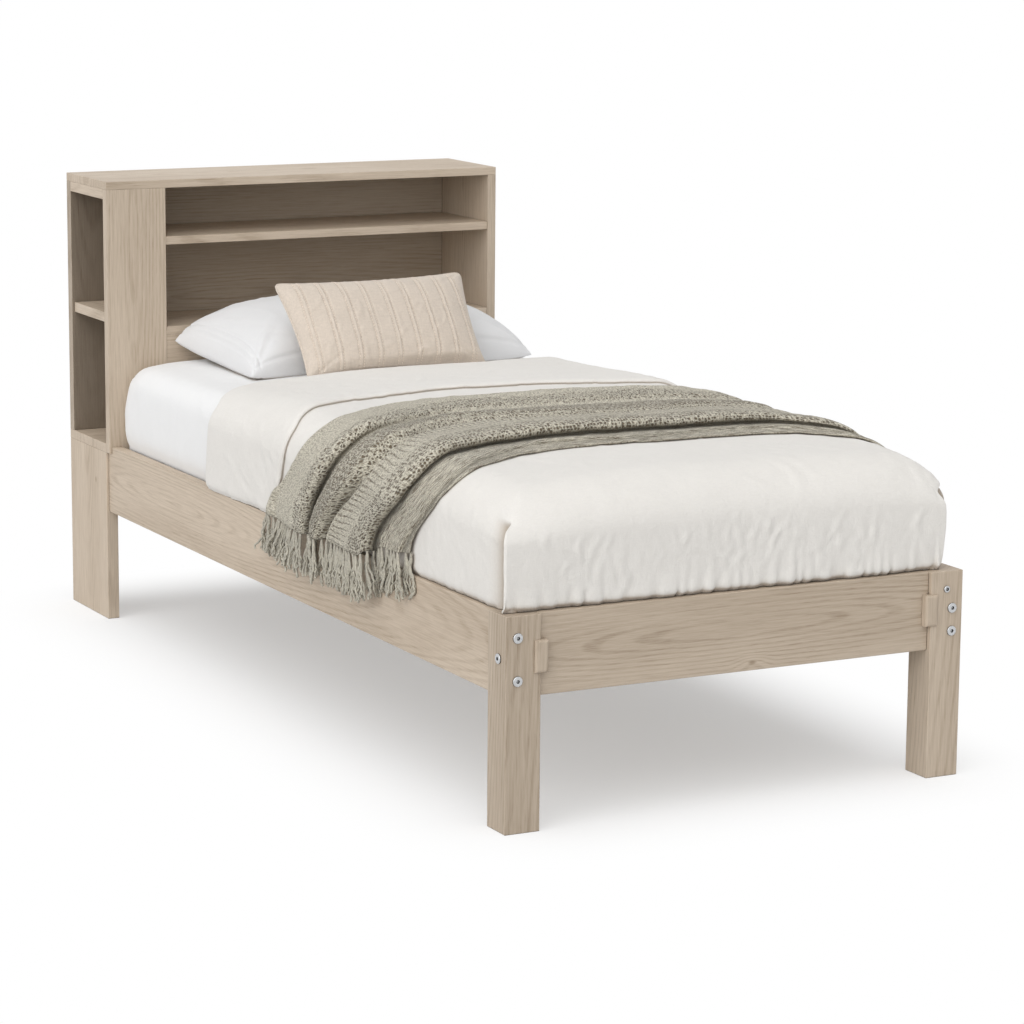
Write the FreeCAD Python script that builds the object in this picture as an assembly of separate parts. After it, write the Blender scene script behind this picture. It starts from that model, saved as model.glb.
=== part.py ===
import FreeCAD, Part
import math
import os

# Single bed with a bookcase headboard, dressed with its bedding.
# Millimetres.  The sizes below are set out from the near foot corner:
# X runs across the bed, Y from the foot to the head, Z up from the floor.
# The finished solids are then moved so that the origin lies on the floor
# at the middle of the whole bed.

V = FreeCAD.Vector

# ---------------------------------------------------------------- mattress
mattress_w = 900.0
mattress_l = 1898.0
mattress_t = 205.0          # height of its side border
mattress_crown = 8.0        # rise of the middle above the border
mattress_end_r = 40.0       # plan radius of its corners
mattress_top_r = 34.0       # radius of the upper border
mattress_foot_r = 20.0      # radius of the lower border
side_clearance = 1.5        # mattress to side rail
end_clearance = 1.0         # mattress to foot rail, and to bookcase

# ---------------------------------------------------------------- bed frame
rail_t = 25.0
rail_h = 150.0
rail_top = 397.0
side_rail_inset = 6.0       # side rail behind the outer face of the legs
foot_rail_inset = 10.0      # foot rail behind the front face of the legs
foot_leg_w = 70.0
foot_leg_d = 70.0
head_leg_t = 26.5
slat_count = 14
slat_w = 70.0
slat_t = 18.0
slat_sink = 20.0            # slat tops below the rail tops
slat_end_gap = 2.0
ledger_w = 25.0
ledger_h = 30.0
head_rail_t = 25.0
rear_rail_h = 70.0
block_w = 40.0
block_drop = 5.0
edge_r = 1.5                # rounding of the handled wood edges
board_r = 0.8               # rounding of the bookcase board edges

# ---------------------------------------------------------------- bookcase
case_depth = 250.0
case_top = 990.0
case_bottom = 382.0
top_t = 18.0
floor_t = 20.0
end_panel_t = 20.0
stile_w = 140.0
stile_t = 22.0
partition_t = 18.0
back_stile_w = 122.0
back_stile_t = 24.0
back_t = 9.0
shelf_t = 18.0
upper_shelf_drop = 127.0    # shelf tops below the top of the bookcase
lower_shelf_drop = 329.0
upper_shelf_setback = 3.0
panel_setback = 2.0
side_shelf_t = 22.0
side_shelf_drop = 293.0
side_shelf_inset = 6.0
apron_h = 22.0
apron_t = 18.0

# ---------------------------------------------------------------- fasteners
bolt_d = 6.0
bolt_clear = 0.5            # hole over shank, on the radius
bolt_head_d = 19.0
bolt_head_h = 3.0
bolt_socket = 6.5           # across the flats of the hexagon socket
bolt_bite = 48.0            # bolt inside the rail end
bolt_inset = 23.0           # front bolts from the outer face of a leg
end_bolt_setback = 28.0     # side bolts from the front face of a leg
left_bolt_z = (357.0, 279.0)
right_bolt_z = (326.0, 282.0)
left_end_bolt_z = 317.0
right_end_bolt_z = 304.0
small_bolt_z = 363.0
small_bolt_inset = 36.0
small_bolt_head_d = 13.0
nut_d = 12.0
nut_l = 16.0
nut_clear = 0.15
nut_setback = 34.0          # barrel nut from the end of the rail
cap_w = 27.0                # joint cap blocks on the foot corners
cap_h = 60.0
left_cap_z = 290.5
right_cap_z = 294.5
cap_proud = 6.0
cap_r = 5.5
screw_d = 4.0
screw_l = 40.0
screw_head_d = 8.0
screw_head_h = 2.6
dowel_d = 8.0
dowel_l = 30.0
dowel_clear = 0.1
pin_d = 5.0
pin_l = 18.0
pin_bite = 9.0
pin_setback = 45.0          # shelf pins from the bookcase's front and back
back_screw_l = 30.0
back_screw_end = 60.0       # back screws from the ends of the partition
back_screw_side = 100.0     # back screws from the ends of the shelves
head_bolt_head_d = 13.0
head_bolt_head_h = 4.0
head_nut_w = 10.0
head_nut_h = 6.0

# ---------------------------------------------------------------- bedding
soft_gap = 0.3              # between a soft piece and its neighbour
duvet_t = 32.0              # thickness over the mattress
duvet_side = 22.5           # thickness down the sides
duvet_foot = 19.0           # thickness down the foot end
duvet_crown = 10.0
duvet_top_r = 62.0
duvet_bulge = 3.0
hem_left = 1392.0           # head-side edge of the duvet, left and right
hem_right = 1520.0
cuff_left = 1000.0          # edge of the turned-back part
cuff_right = 1075.0
cuff_t = 8.0
hem_fall = 16.0             # how far its top sinks towards its head-side edge
foot_gathers = 14           # small pleats along the foot hem
gather_depth = 3.0
pillow_w = 709.0
pillow_d = 389.0
pillow_rise = 120.0         # its top above its seam
pillow_sink = 48.0          # its underside below its seam
pillow_draw = 14.0          # how far its sides are drawn in
pillow_x = 522.7
pillow_y = 1773.9
pillow_lift = 23.3          # its seam above the mattress top
pillow_pitch = 4.9
pillow_yaw = 4.4
cushion_w = 465.0
cushion_d = 242.0
cushion_t = 100.0
cushion_draw = 7.0
cushion_x = 491.0
cushion_y = 1471.0
cushion_lift = 3.7          # its lower edge above the mattress top
cushion_lean = 54.0
cushion_yaw = 3.5
cushion_channels = 11       # sewn channels across the cushion
channel_depth = 2.2
throw_t = 5.0
throw_fold = 15.0           # height of the folds
throw_folds = 5
throw_overhang = 7.0        # folds outside the legs' outer faces
throw_hem_z = 415.0
fringe_l = 82.0
fringe_count = 30
fringe_d = 9.0
fringe_tip_d = 5.0

# ---------------------------------------------------------------- derived
inner_w = mattress_w + 2 * side_clearance
bed_w = inner_w + 2 * (rail_t + side_rail_inset)
rail_in_l = side_rail_inset + rail_t
rail_in_r = bed_w - rail_in_l
foot_in = foot_rail_inset + rail_t
case_front = foot_in + mattress_l + 2 * end_clearance
case_back = case_front + case_depth
leg_front = case_front + stile_t
rail_bottom = rail_top - rail_h
slat_top = rail_top - slat_sink
slat_bottom = slat_top - slat_t
ledger_bottom = slat_bottom - ledger_h
mattress_bottom = slat_top + soft_gap
mattress_side_top = mattress_bottom + mattress_t
mattress_crown_top = mattress_side_top + mattress_crown
mattress_x0 = rail_in_l + side_clearance
mattress_x1 = mattress_x0 + mattress_w
mattress_y0 = foot_in + end_clearance
mattress_y1 = mattress_y0 + mattress_l
floor_top = case_bottom + floor_t
top_under = case_top - top_t
back_front = case_back - back_t
back_stile_front = case_back - back_stile_t
partition_x0 = stile_w - partition_t
end_panel_x0 = bed_w - end_panel_t
upper_shelf_top = case_top - upper_shelf_drop
lower_shelf_top = case_top - lower_shelf_drop
side_shelf_top = case_top - side_shelf_drop
upper_shelf_z0 = upper_shelf_top - shelf_t
lower_shelf_z0 = lower_shelf_top - shelf_t
side_shelf_z0 = side_shelf_top - side_shelf_t
head_rail_back = leg_front + head_rail_t

origin = V(bed_w / 2, (case_back - cap_proud) / 2, 0)
parts = {}


# ---------------------------------------------------------------- helpers
def put(name, shape):
    moved = shape.copy()
    moved.translate(origin * -1)
    parts[name] = moved


def box(x0, x1, y0, y1, z0, z1):
    return Part.makeBox(x1 - x0, y1 - y0, z1 - z0, V(x0, y0, z0))


def board(x0, x1, y0, y1, z0, z1, r=board_r):
    solid = box(x0, x1, y0, y1, z0, z1)
    return solid.makeFillet(r, solid.Edges)


def rod(point, direction, radius, length):
    return Part.makeCylinder(radius, length, point, direction)


def pierce(solid, *cutters):
    return solid.cut(Part.makeCompound(list(cutters)))


def hexagon(point, direction, flats, length):
    corner = flats / math.sqrt(3)
    pts = [V(corner * math.cos(math.radians(60 * k)),
             corner * math.sin(math.radians(60 * k)), 0) for k in range(7)]
    prism = Part.Face(Part.makePolygon(pts)).extrude(V(0, 0, length))
    turn = FreeCAD.Rotation(V(0, 0, 1), direction)
    prism.Placement = FreeCAD.Placement(point, turn)
    return prism


def bolt(point, direction, head_d, length):
    """Socket bolt: point is under the head, direction runs into the wood."""
    out = direction * -1
    head = rod(point, out, head_d / 2, bolt_head_h)
    rim = [e for e in head.Edges if e.Length < 4 * head_d
           and abs((e.CenterOfMass - point).dot(out) - bolt_head_h) < 0.01]
    head = head.makeFillet(bolt_head_h * 0.45, rim)
    socket = hexagon(point + out * (bolt_head_h * 0.25), out, bolt_socket,
                     bolt_head_h)
    return head.fuse(rod(point, direction, bolt_d / 2, length)).cut(socket)


def screw(point, direction, length=screw_l):
    """Countersunk wood screw whose flat head ends at point."""
    head = Part.makeCone(screw_head_d / 2, screw_d / 2, screw_head_h, point,
                         direction)
    shank = rod(point + direction * screw_head_h, direction, screw_d / 2,
                length - screw_head_h - screw_d)
    tip = Part.makeCone(screw_d / 2, 0.3, screw_d,
                        point + direction * (length - screw_d), direction)
    return head.fuse(shank).fuse(tip)


def arc(a, m, b):
    return Part.Arc(a, m, b).toShape()


def mirror_x(x):
    return bed_w - x


# ---------------------------------------------------------------- fasteners
# Every fastener is made once; the wood is then drilled with the same solids.
leg_bolt_l = foot_leg_d + bolt_bite
end_bolt_l = foot_leg_w + bolt_bite
X, Y, Z = V(1, 0, 0), V(0, 1, 0), V(0, 0, 1)

bolt_specs = []
for side, heights in (("left", left_bolt_z), ("right", right_bolt_z)):
    x = bolt_inset if side == "left" else mirror_x(bolt_inset)
    for z in heights:
        bolt_specs.append((V(x, 0, z), Y, leg_bolt_l))
bolt_specs.append((V(0, end_bolt_setback, left_end_bolt_z), X, end_bolt_l))
bolt_specs.append((V(bed_w, end_bolt_setback, right_end_bolt_z), X * -1,
                   end_bolt_l))
foot_bolts = [bolt(p, d, bolt_head_d, n) for p, d, n in bolt_specs]
bolt_holes = [rod(p, d, bolt_d / 2 + bolt_clear, n + 2)
              for p, d, n in bolt_specs]

nut_specs = []
for p, d, n in bolt_specs:
    middle = p + d * (n - bolt_bite + nut_setback)
    if d == Y:
        left = p.x < bed_w / 2
        face = rail_in_l if left else rail_in_r
        nut_specs.append((V(face, middle.y, p.z), X * (-1 if left else 1)))
    else:
        nut_specs.append((V(middle.x, foot_in, p.z), Y * -1))
barrel_nuts = []
for (p, d), (bp, bd, bn) in zip(nut_specs, bolt_specs):
    nut = rod(p, d, nut_d / 2, nut_l)
    barrel_nuts.append(nut.cut(rod(bp, bd, bolt_d / 2, bn + 2)))
nut_holes = [rod(p, d, nut_d / 2 + nut_clear, nut_l + 0.5)
             for p, d in nut_specs]

small_p = V(mirror_x(small_bolt_inset), 0, small_bolt_z)
corner_screw = bolt(small_p, Y, small_bolt_head_d, foot_leg_d / 2)
small_hole = rod(small_p, Y, bolt_d / 2 + bolt_clear, foot_leg_d / 2 + 1)

# ---------------------------------------------------------------- foot legs
for side in ("left", "right"):
    x0 = 0.0 if side == "left" else bed_w - foot_leg_w
    leg = board(x0, x0 + foot_leg_w, 0, foot_leg_d, 0, rail_top, edge_r)
    # the inner corner is rebated so that slats and mattress lie level
    if side == "left":
        rebate = box(rail_in_l, x0 + foot_leg_w + 1, foot_in, foot_leg_d + 1,
                     slat_bottom, rail_top + 1)
    else:
        rebate = box(x0 - 1, rail_in_r, foot_in, foot_leg_d + 1, slat_bottom,
                     rail_top + 1)
    leg = pierce(leg, rebate, small_hole, *bolt_holes)
    put("foot_leg_" + side, leg)

# ---------------------------------------------------------------- rails
notch_y = case_front
for side in ("left", "right"):
    left = side == "left"
    x0 = side_rail_inset if left else rail_in_r
    rail = board(x0, x0 + rail_t, foot_leg_d, leg_front, rail_bottom, rail_top,
                 edge_r)
    notch = box(x0 - 1, x0 + rail_t + 1, notch_y, leg_front + 1, case_bottom,
                rail_top + 1)
    rail = pierce(rail, notch, *bolt_holes, *nut_holes)
    put("side_rail_" + side, rail)

foot_rail = board(foot_leg_w, bed_w - foot_leg_w, foot_rail_inset, foot_in,
                  rail_bottom, rail_top, edge_r)
put("foot_rail", pierce(foot_rail, *bolt_holes, *nut_holes))

# small rounded blocks that cap the joints of the foot rail and its legs
for side in ("left", "right"):
    joint = foot_leg_w if side == "left" else bed_w - foot_leg_w
    cap_z = left_cap_z if side == "left" else right_cap_z
    x0 = joint - cap_w / 2
    block = box(x0, x0 + cap_w, -cap_proud, foot_rail_inset, cap_z,
                cap_z + cap_h)
    front = [e for e in block.Edges
             if abs(e.CenterOfMass.y + cap_proud) < 0.01]
    block = block.makeFillet(cap_r, front)
    leg_side = box(x0 - 1, joint, 0, foot_rail_inset + 1, cap_z - 1,
                   cap_z + cap_h + 1)
    if side == "right":
        leg_side = box(joint, x0 + cap_w + 1, 0, foot_rail_inset + 1,
                       cap_z - 1, cap_z + cap_h + 1)
    put("joint_cap_" + side, block.cut(leg_side))

# ---------------------------------------------------------------- slat base
ledger_y1 = leg_front
ledgers = {
    "side_ledger_left": (rail_in_l, rail_in_l + ledger_w, foot_leg_d,
                         ledger_y1),
    "side_ledger_right": (rail_in_r - ledger_w, rail_in_r, foot_leg_d,
                          ledger_y1),
    "foot_ledger": (foot_leg_w, bed_w - foot_leg_w, foot_in,
                    foot_in + ledger_w),
}
slat_x0 = rail_in_l + slat_end_gap
slat_x1 = rail_in_r - slat_end_gap
slat_first = foot_in + slat_end_gap
slat_last = case_front - slat_end_gap - slat_w
slat_pitch = (slat_last - slat_first) / (slat_count - 1)
slat_screw_x = rail_in_l + ledger_w / 2
block_x1 = rail_in_l + block_w
block_y0 = leg_front - block_w
block_z0 = rail_bottom + block_drop
screws = []
for k in range(slat_count):
    y = slat_first + k * slat_pitch + slat_w / 2
    if k == 0:
        y = (foot_leg_d + slat_first + slat_w) / 2
    for x in (slat_screw_x, mirror_x(slat_screw_x)):
        screws.append(screw(V(x, y, slat_top), Z * -1))
ledger_screw_z = ledger_bottom + ledger_h / 2
ledger_screw_y = [foot_leg_d + 60 + k * (leg_front - foot_leg_d - 160) / 5
                  for k in range(6)]
for y in ledger_screw_y:
    screws.append(screw(V(rail_in_l + ledger_w, y, ledger_screw_z), X * -1))
    screws.append(screw(V(rail_in_r - ledger_w, y, ledger_screw_z), X))
for k in range(4):
    x = foot_leg_w + 90 + k * (bed_w - 2 * foot_leg_w - 180) / 3
    screws.append(screw(V(x, foot_in + ledger_w, ledger_screw_z), Y * -1))

# ---------------------------------------------------------------- head end
block_screw_y = block_y0 + block_w / 2
block_mid = (block_z0 + ledger_bottom) / 2
block_bolt_dz = 24.0
block_screw_dz = 8.0
block_screw_l = 56.0
head_bolt_x = block_x1 - bolt_d * 2
for z in (block_mid - block_screw_dz, block_mid + block_screw_dz):
    screws.append(screw(V(block_x1, block_screw_y, z), X * -1, block_screw_l))
    screws.append(screw(V(mirror_x(block_x1), block_screw_y, z), X,
                        block_screw_l))
case_screw_y = (leg_front + head_rail_t / 2, case_back - head_rail_t / 2)
case_screw_x = [stile_w + 60 + k * (end_panel_x0 - stile_w - 120) / 3
                for k in range(4)]
for x in case_screw_x:
    for y in case_screw_y:
        screws.append(screw(V(x, y, floor_top), Z * -1))
screw_cut = Part.makeCompound(screws)

head_bolts = []
head_nuts = []
head_bolt_cuts = []
grip = head_rail_back - block_y0
for x in (head_bolt_x, mirror_x(head_bolt_x)):
    for z in (block_mid - block_bolt_dz, block_mid + block_bolt_dz):
        seat = V(x, block_y0, z)
        head = rod(seat, Y * -1, head_bolt_head_d / 2, head_bolt_head_h)
        shank = rod(seat, Y, bolt_d / 2, grip + head_nut_h + 2)
        socket = hexagon(seat - Y * 1.2, Y * -1, bolt_socket, head_bolt_head_h)
        head_bolts.append(head.fuse(shank).cut(socket))
        head_bolt_cuts.append(rod(seat - Y, Y, bolt_d / 2 + bolt_clear,
                                  grip + 2))
        nut = hexagon(V(x, head_rail_back, z), Y, head_nut_w, head_nut_h)
        head_nuts.append(nut.cut(rod(seat, Y, bolt_d / 2, grip + 20)))

for name, (x0, x1, y0, y1) in ledgers.items():
    put(name, board(x0, x1, y0, y1, ledger_bottom, slat_bottom,
                    board_r).cut(screw_cut))
for k in range(slat_count):
    y = slat_first + k * slat_pitch
    slat = board(slat_x0, slat_x1, y, y + slat_w, slat_bottom, slat_top,
                 edge_r)
    put("slat_%02d" % (k + 1), slat.cut(screw_cut))
for side in ("left", "right"):
    left = side == "left"
    leg = board(0 if left else bed_w - head_leg_t,
                head_leg_t if left else bed_w, leg_front, case_back, 0,
                case_bottom, edge_r)
    put("head_leg_" + side, leg)
    a = rail_in_l if left else rail_in_r - block_w
    block = board(a, a + block_w, block_y0, leg_front, block_z0,
                  ledger_bottom)
    put("head_block_" + side, pierce(block, screw_cut, *head_bolt_cuts))
    rail = parts["side_rail_" + side]
    local = screw_cut.copy()
    local.translate(origin * -1)
    parts["side_rail_" + side] = rail.cut(local)
local = screw_cut.copy()
local.translate(origin * -1)
parts["foot_rail"] = parts["foot_rail"].cut(local)

dowels = []


def dowel(point, direction, bite):
    """Dowel centred on a joint face: bite is its length past the point."""
    dowels.append(rod(point - direction * (dowel_l - bite), direction,
                      dowel_d / 2, dowel_l))


rail_bite = dowel_l - head_leg_t * 0.55
for x, d in ((head_leg_t, X), (bed_w - head_leg_t, X * -1)):
    for z in (rail_bottom + 35, case_bottom - 35):
        dowel(V(x, leg_front + head_rail_t / 2, z), d, rail_bite)
    for z in (case_bottom - rear_rail_h + 20, case_bottom - 20):
        dowel(V(x, case_back - head_rail_t / 2, z), d, rail_bite)

# bookcase joints: uprights into the top and into the floor board
top_bite = top_t * 0.6
floor_bite = floor_t * 0.6
uprights = [(partition_x0 + partition_t / 2, leg_front + 40),
            (partition_x0 + partition_t / 2, back_front - 40),
            (end_panel_x0 + end_panel_t / 2, case_front + 40),
            (end_panel_x0 + end_panel_t / 2, case_back - 40),
            (35.0, case_front + stile_t / 2),
            (stile_w - 35.0, case_front + stile_t / 2),
            (18.0, case_back - back_stile_t / 2),
            (back_stile_w - 15.0, case_back - back_stile_t / 2)]
for x, y in uprights:
    dowel(V(x, y, top_under), Z, top_bite)
    if y > leg_front and x < end_panel_x0:
        dowel(V(x, y, floor_top), Z * -1, floor_bite)
# the end panel and the front stile stand beside the floor board
for y in (leg_front + 50, case_back - 50):
    dowel(V(end_panel_x0, y, case_bottom + floor_t / 2), X, end_panel_t * 0.6)
for x in (30.0, stile_w - 35.0):
    dowel(V(x, leg_front, case_bottom + floor_t / 2), Y * -1, stile_t * 0.55)
# lower shelf between partition and end panel, side shelf and apron
for y in (case_front + 55, back_front - 40):
    dowel(V(stile_w, y, lower_shelf_z0 + shelf_t / 2), X * -1,
          partition_t * 0.6)
    dowel(V(end_panel_x0, y, lower_shelf_z0 + shelf_t / 2), X,
          end_panel_t * 0.6)
for x in (side_shelf_inset + 25, partition_x0 - 25):
    dowel(V(x, leg_front, side_shelf_z0 + side_shelf_t / 2), Y * -1,
          stile_t * 0.55)
dowel(V(side_shelf_inset + 25, back_stile_front,
        side_shelf_z0 + side_shelf_t / 2), Y, back_stile_t * 0.55)
dowel(V(apron_t / 2, leg_front, top_under - apron_h / 2), Y * -1,
      stile_t * 0.55)
dowel(V(apron_t / 2, back_stile_front, top_under - apron_h / 2), Y,
      back_stile_t * 0.55)
for x in (stile_w + 60, end_panel_x0 - 60):
    dowel(V(x, case_front + panel_setback + 10, lower_shelf_z0), Z,
          shelf_t * 0.6)
dowel_cut = Part.makeCompound([d.makeOffsetShape(dowel_clear, 0.01)
                               for d in dowels])

pins = []
pin_z = upper_shelf_z0 - pin_d / 2
for y in (case_front + pin_setback, back_front - pin_setback):
    pins.append(rod(V(stile_w - pin_bite, y, pin_z), X, pin_d / 2, pin_l))
    pins.append(rod(V(end_panel_x0 + pin_bite, y, pin_z), X * -1, pin_d / 2,
                    pin_l))
pin_cut = Part.makeCompound([p.makeOffsetShape(dowel_clear, 0.01)
                             for p in pins])

back_screws = []
back_screw_z = [floor_top + back_screw_end
                + k * (top_under - floor_top - 2 * back_screw_end) / 3
                for k in range(4)]
for z in back_screw_z:
    back_screws.append(screw(V(partition_x0 + partition_t / 2, case_back, z),
                             Y * -1, back_screw_l))
for k in range(4):
    x = (stile_w + back_screw_side
         + k * (end_panel_x0 - stile_w - 2 * back_screw_side) / 3)
    for z in (upper_shelf_z0 + shelf_t / 2, lower_shelf_z0 + shelf_t / 2):
        back_screws.append(screw(V(x, case_back, z), Y * -1, back_screw_l))
back_cut = Part.makeCompound(back_screws)

case = {
    "head_rail": (head_leg_t, bed_w - head_leg_t, leg_front, head_rail_back,
                  rail_bottom, case_bottom),
    "rear_rail": (head_leg_t, bed_w - head_leg_t, case_back - head_rail_t,
                  case_back, case_bottom - rear_rail_h, case_bottom),
    "case_floor": (0, end_panel_x0, leg_front, case_back, case_bottom,
                   floor_top),
    "case_top": (0, bed_w, case_front, case_back, top_under, case_top),
    "front_stile": (0, stile_w, case_front, leg_front, case_bottom,
                    top_under),
    "back_stile": (0, back_stile_w, back_stile_front, case_back, floor_top,
                   top_under),
    "partition": (partition_x0, stile_w, leg_front, back_front, floor_top,
                  top_under),
    "end_panel": (end_panel_x0, bed_w, case_front, case_back, case_bottom,
                  top_under),
    "upper_shelf": (stile_w, end_panel_x0, case_front + upper_shelf_setback,
                    back_front, upper_shelf_z0, upper_shelf_top),
    "lower_shelf": (stile_w, end_panel_x0, case_front + panel_setback,
                    back_front, lower_shelf_z0, lower_shelf_top),
    "front_panel": (stile_w, end_panel_x0, case_front + panel_setback,
                    leg_front, case_bottom, lower_shelf_z0),
    "side_shelf": (side_shelf_inset, partition_x0, leg_front,
                   back_stile_front, side_shelf_z0, side_shelf_top),
    "top_apron": (0, apron_t, leg_front, back_stile_front,
                  top_under - apron_h, top_under),
    "back_panel": (back_stile_w, end_panel_x0, back_front, case_back,
                   floor_top, top_under),
}
for name, size in case.items():
    solid = board(*size)
    solid = pierce(solid, dowel_cut, pin_cut, back_cut, screw_cut,
                   *head_bolt_cuts)
    put(name, solid)
for side in ("left", "right"):
    local = dowel_cut.copy()
    local.translate(origin * -1)
    name = "head_leg_" + side
    parts[name] = parts[name].cut(local)

put("foot_bolts", Part.makeCompound(foot_bolts))
put("barrel_nuts", Part.makeCompound(barrel_nuts))
put("corner_screw", corner_screw)
put("wood_screws", Part.makeCompound(screws))
put("head_bolts", Part.makeCompound(head_bolts))
put("head_nuts", Part.makeCompound(head_nuts))
put("dowels", Part.makeCompound(dowels))
put("shelf_pins", Part.makeCompound(pins))
put("back_screws", Part.makeCompound(back_screws))


# ---------------------------------------------------------------- bedding
def border_wire(ya, yb, x0, x1, z0, z1, crown, r_low, r_top, bulge):
    """Rounded section across the bed, in a plane from (x0, ya) to (x1, yb)."""
    def at(x, z):
        return V(x, ya + (yb - ya) * (x - x0) / (x1 - x0), z)

    def turn(cx, cz, r, a):
        return at(cx + r * math.cos(math.radians(a)),
                  cz + r * math.sin(math.radians(a)))
    zm = (z0 + z1) / 2
    xm = (x0 + x1) / 2
    bulge = max(bulge, 0.5)
    edges = [Part.makeLine(at(x0 + r_low, z0), at(x1 - r_low, z0)),
             arc(at(x1 - r_low, z0), turn(x1 - r_low, z0 + r_low, r_low, -45),
                 at(x1, z0 + r_low)),
             arc(at(x1, z0 + r_low), at(x1 + bulge, zm), at(x1, z1 - r_top)),
             arc(at(x1, z1 - r_top), turn(x1 - r_top, z1 - r_top, r_top, 45),
                 at(x1 - r_top, z1)),
             arc(at(x1 - r_top, z1), at(xm, z1 + crown), at(x0 + r_top, z1)),
             arc(at(x0 + r_top, z1), turn(x0 + r_top, z1 - r_top, r_top, 135),
                 at(x0, z1 - r_top)),
             arc(at(x0, z1 - r_top), at(x0 - bulge, zm), at(x0, z0 + r_low)),
             arc(at(x0, z0 + r_low), turn(x0 + r_low, z0 + r_low, r_low, 225),
                 at(x0 + r_low, z0))]
    return Part.Wire(edges)


def loft(wires, ruled=True):
    solid = Part.makeLoft(wires, True, ruled)
    if solid.Volume < 0:
        solid.reverse()
    return solid


def quarter(steps):
    """Inset factors of a quarter turn, from the end face inwards."""
    return [(1 - math.sin(math.radians(90.0 * k / steps)),
             1 - math.cos(math.radians(90.0 * k / steps)))
            for k in range(steps, -1, -1)]


def mattress_form(g):
    wires = []
    steps = 4
    # (along, in): how far past the end plane, how far in from the sides
    turns = [(1 - math.cos(math.radians(90.0 * k / steps)),
              1 - math.sin(math.radians(90.0 * k / steps)))
             for k in range(steps + 1)]
    ends = [(mattress_y0 - g, 1)], [(mattress_y1 + g, -1)]
    for y_end, sign in (ends[0][0], ends[1][0]):
        row = []
        for along, inset in turns:
            y = y_end + sign * along * mattress_end_r
            i = inset * mattress_end_r
            top_drop = inset * mattress_top_r * 0.8
            row.append(border_wire(
                y, y, mattress_x0 - g + i, mattress_x1 + g - i,
                mattress_bottom - g + i * 0.3,
                mattress_side_top + g - top_drop,
                mattress_crown * (1 - 0.5 * inset),
                mattress_foot_r, mattress_top_r, 4.0 * (1 - inset)))
        wires.extend(row if sign > 0 else row[::-1])
    return loft(wires)


mattress = mattress_form(0.0)
mattress_clear = mattress_form(soft_gap)
put("mattress", mattress)

duvet_x0 = mattress_x0 - duvet_side
duvet_x1 = mattress_x1 + duvet_side
duvet_y0 = mattress_y0 - duvet_foot
duvet_z0 = rail_top + soft_gap
duvet_z1 = mattress_side_top + duvet_t


def duvet_form(g):
    steps = 5
    wires = []
    rows = []
    for k in range(steps + 1):
        a = math.radians(90.0 * k / steps)
        rows.append((duvet_y0 + duvet_top_r * (1 - math.cos(a)),
                     1 - math.sin(a), 0.0))
    mid = (cuff_left + cuff_right) / 2
    rows.append((mid - 20, 0.0, 0.0))
    rows.append((mid - 4, 0.0, 0.0))
    rows.append((mid + 4, 0.0, 1.0))
    hem = (hem_left + hem_right) / 2
    rows.append((hem - 26, 0.0, 1.0))
    rows.append((hem - 10, 0.03, 1.0))
    rows.append((hem, 0.10, 1.0))
    for y, drop, cuff in rows:
        past = max(0.0, (y - duvet_y0 - duvet_top_r)
                   / (hem - duvet_y0 - duvet_top_r))
        skew = past * (hem_right - hem_left) / 2
        if y < mid + 10:
            skew = past / ((mid - duvet_y0 - duvet_top_r)
                           / (hem - duvet_y0 - duvet_top_r))
            skew = skew * (cuff_right - cuff_left) / 2
        edge = 26.0 * drop if y < mid else 14.0 * drop
        out = g + cuff * cuff_t * 0.5
        fall = hem_fall * max(0.0, (y - mid) / (hem - mid))
        top = duvet_z1 + g + cuff * cuff_t - drop * duvet_top_r - fall
        shift = -g if drop == 1.0 else (g if y == hem else 0.0)
        wires.append(border_wire(
            y - skew + shift, y + skew + shift,
            duvet_x0 - out + edge, duvet_x1 + out - edge,
            duvet_z0 - g, top, duvet_crown * (1 - 0.6 * drop), 8.0,
            duvet_top_r * (1 - 0.35 * drop), duvet_bulge * (1 - drop)))
    return loft(wires)


duvet_outer = duvet_form(0.0)
duvet_clear = duvet_form(soft_gap)
duvet = duvet_outer.cut(mattress_clear)
# small gathers where the foot end meets the rail
pleats = []
pleat_step = (duvet_x1 - duvet_x0 - 150) / (foot_gathers - 1)
for k in range(foot_gathers):
    x = duvet_x0 + 75 + k * pleat_step
    tall = 55 + 25 * math.sin(2.1 * k)
    pleats.append(Part.makeCone(gather_depth * 2.2, 0.5, tall,
                                V(x, duvet_y0 - gather_depth, duvet_z0 - 2),
                                V(0.1 * math.sin(1.7 * k), 0, 1)))
put("duvet", duvet.cut(Part.makeCompound(pleats)))


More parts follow.
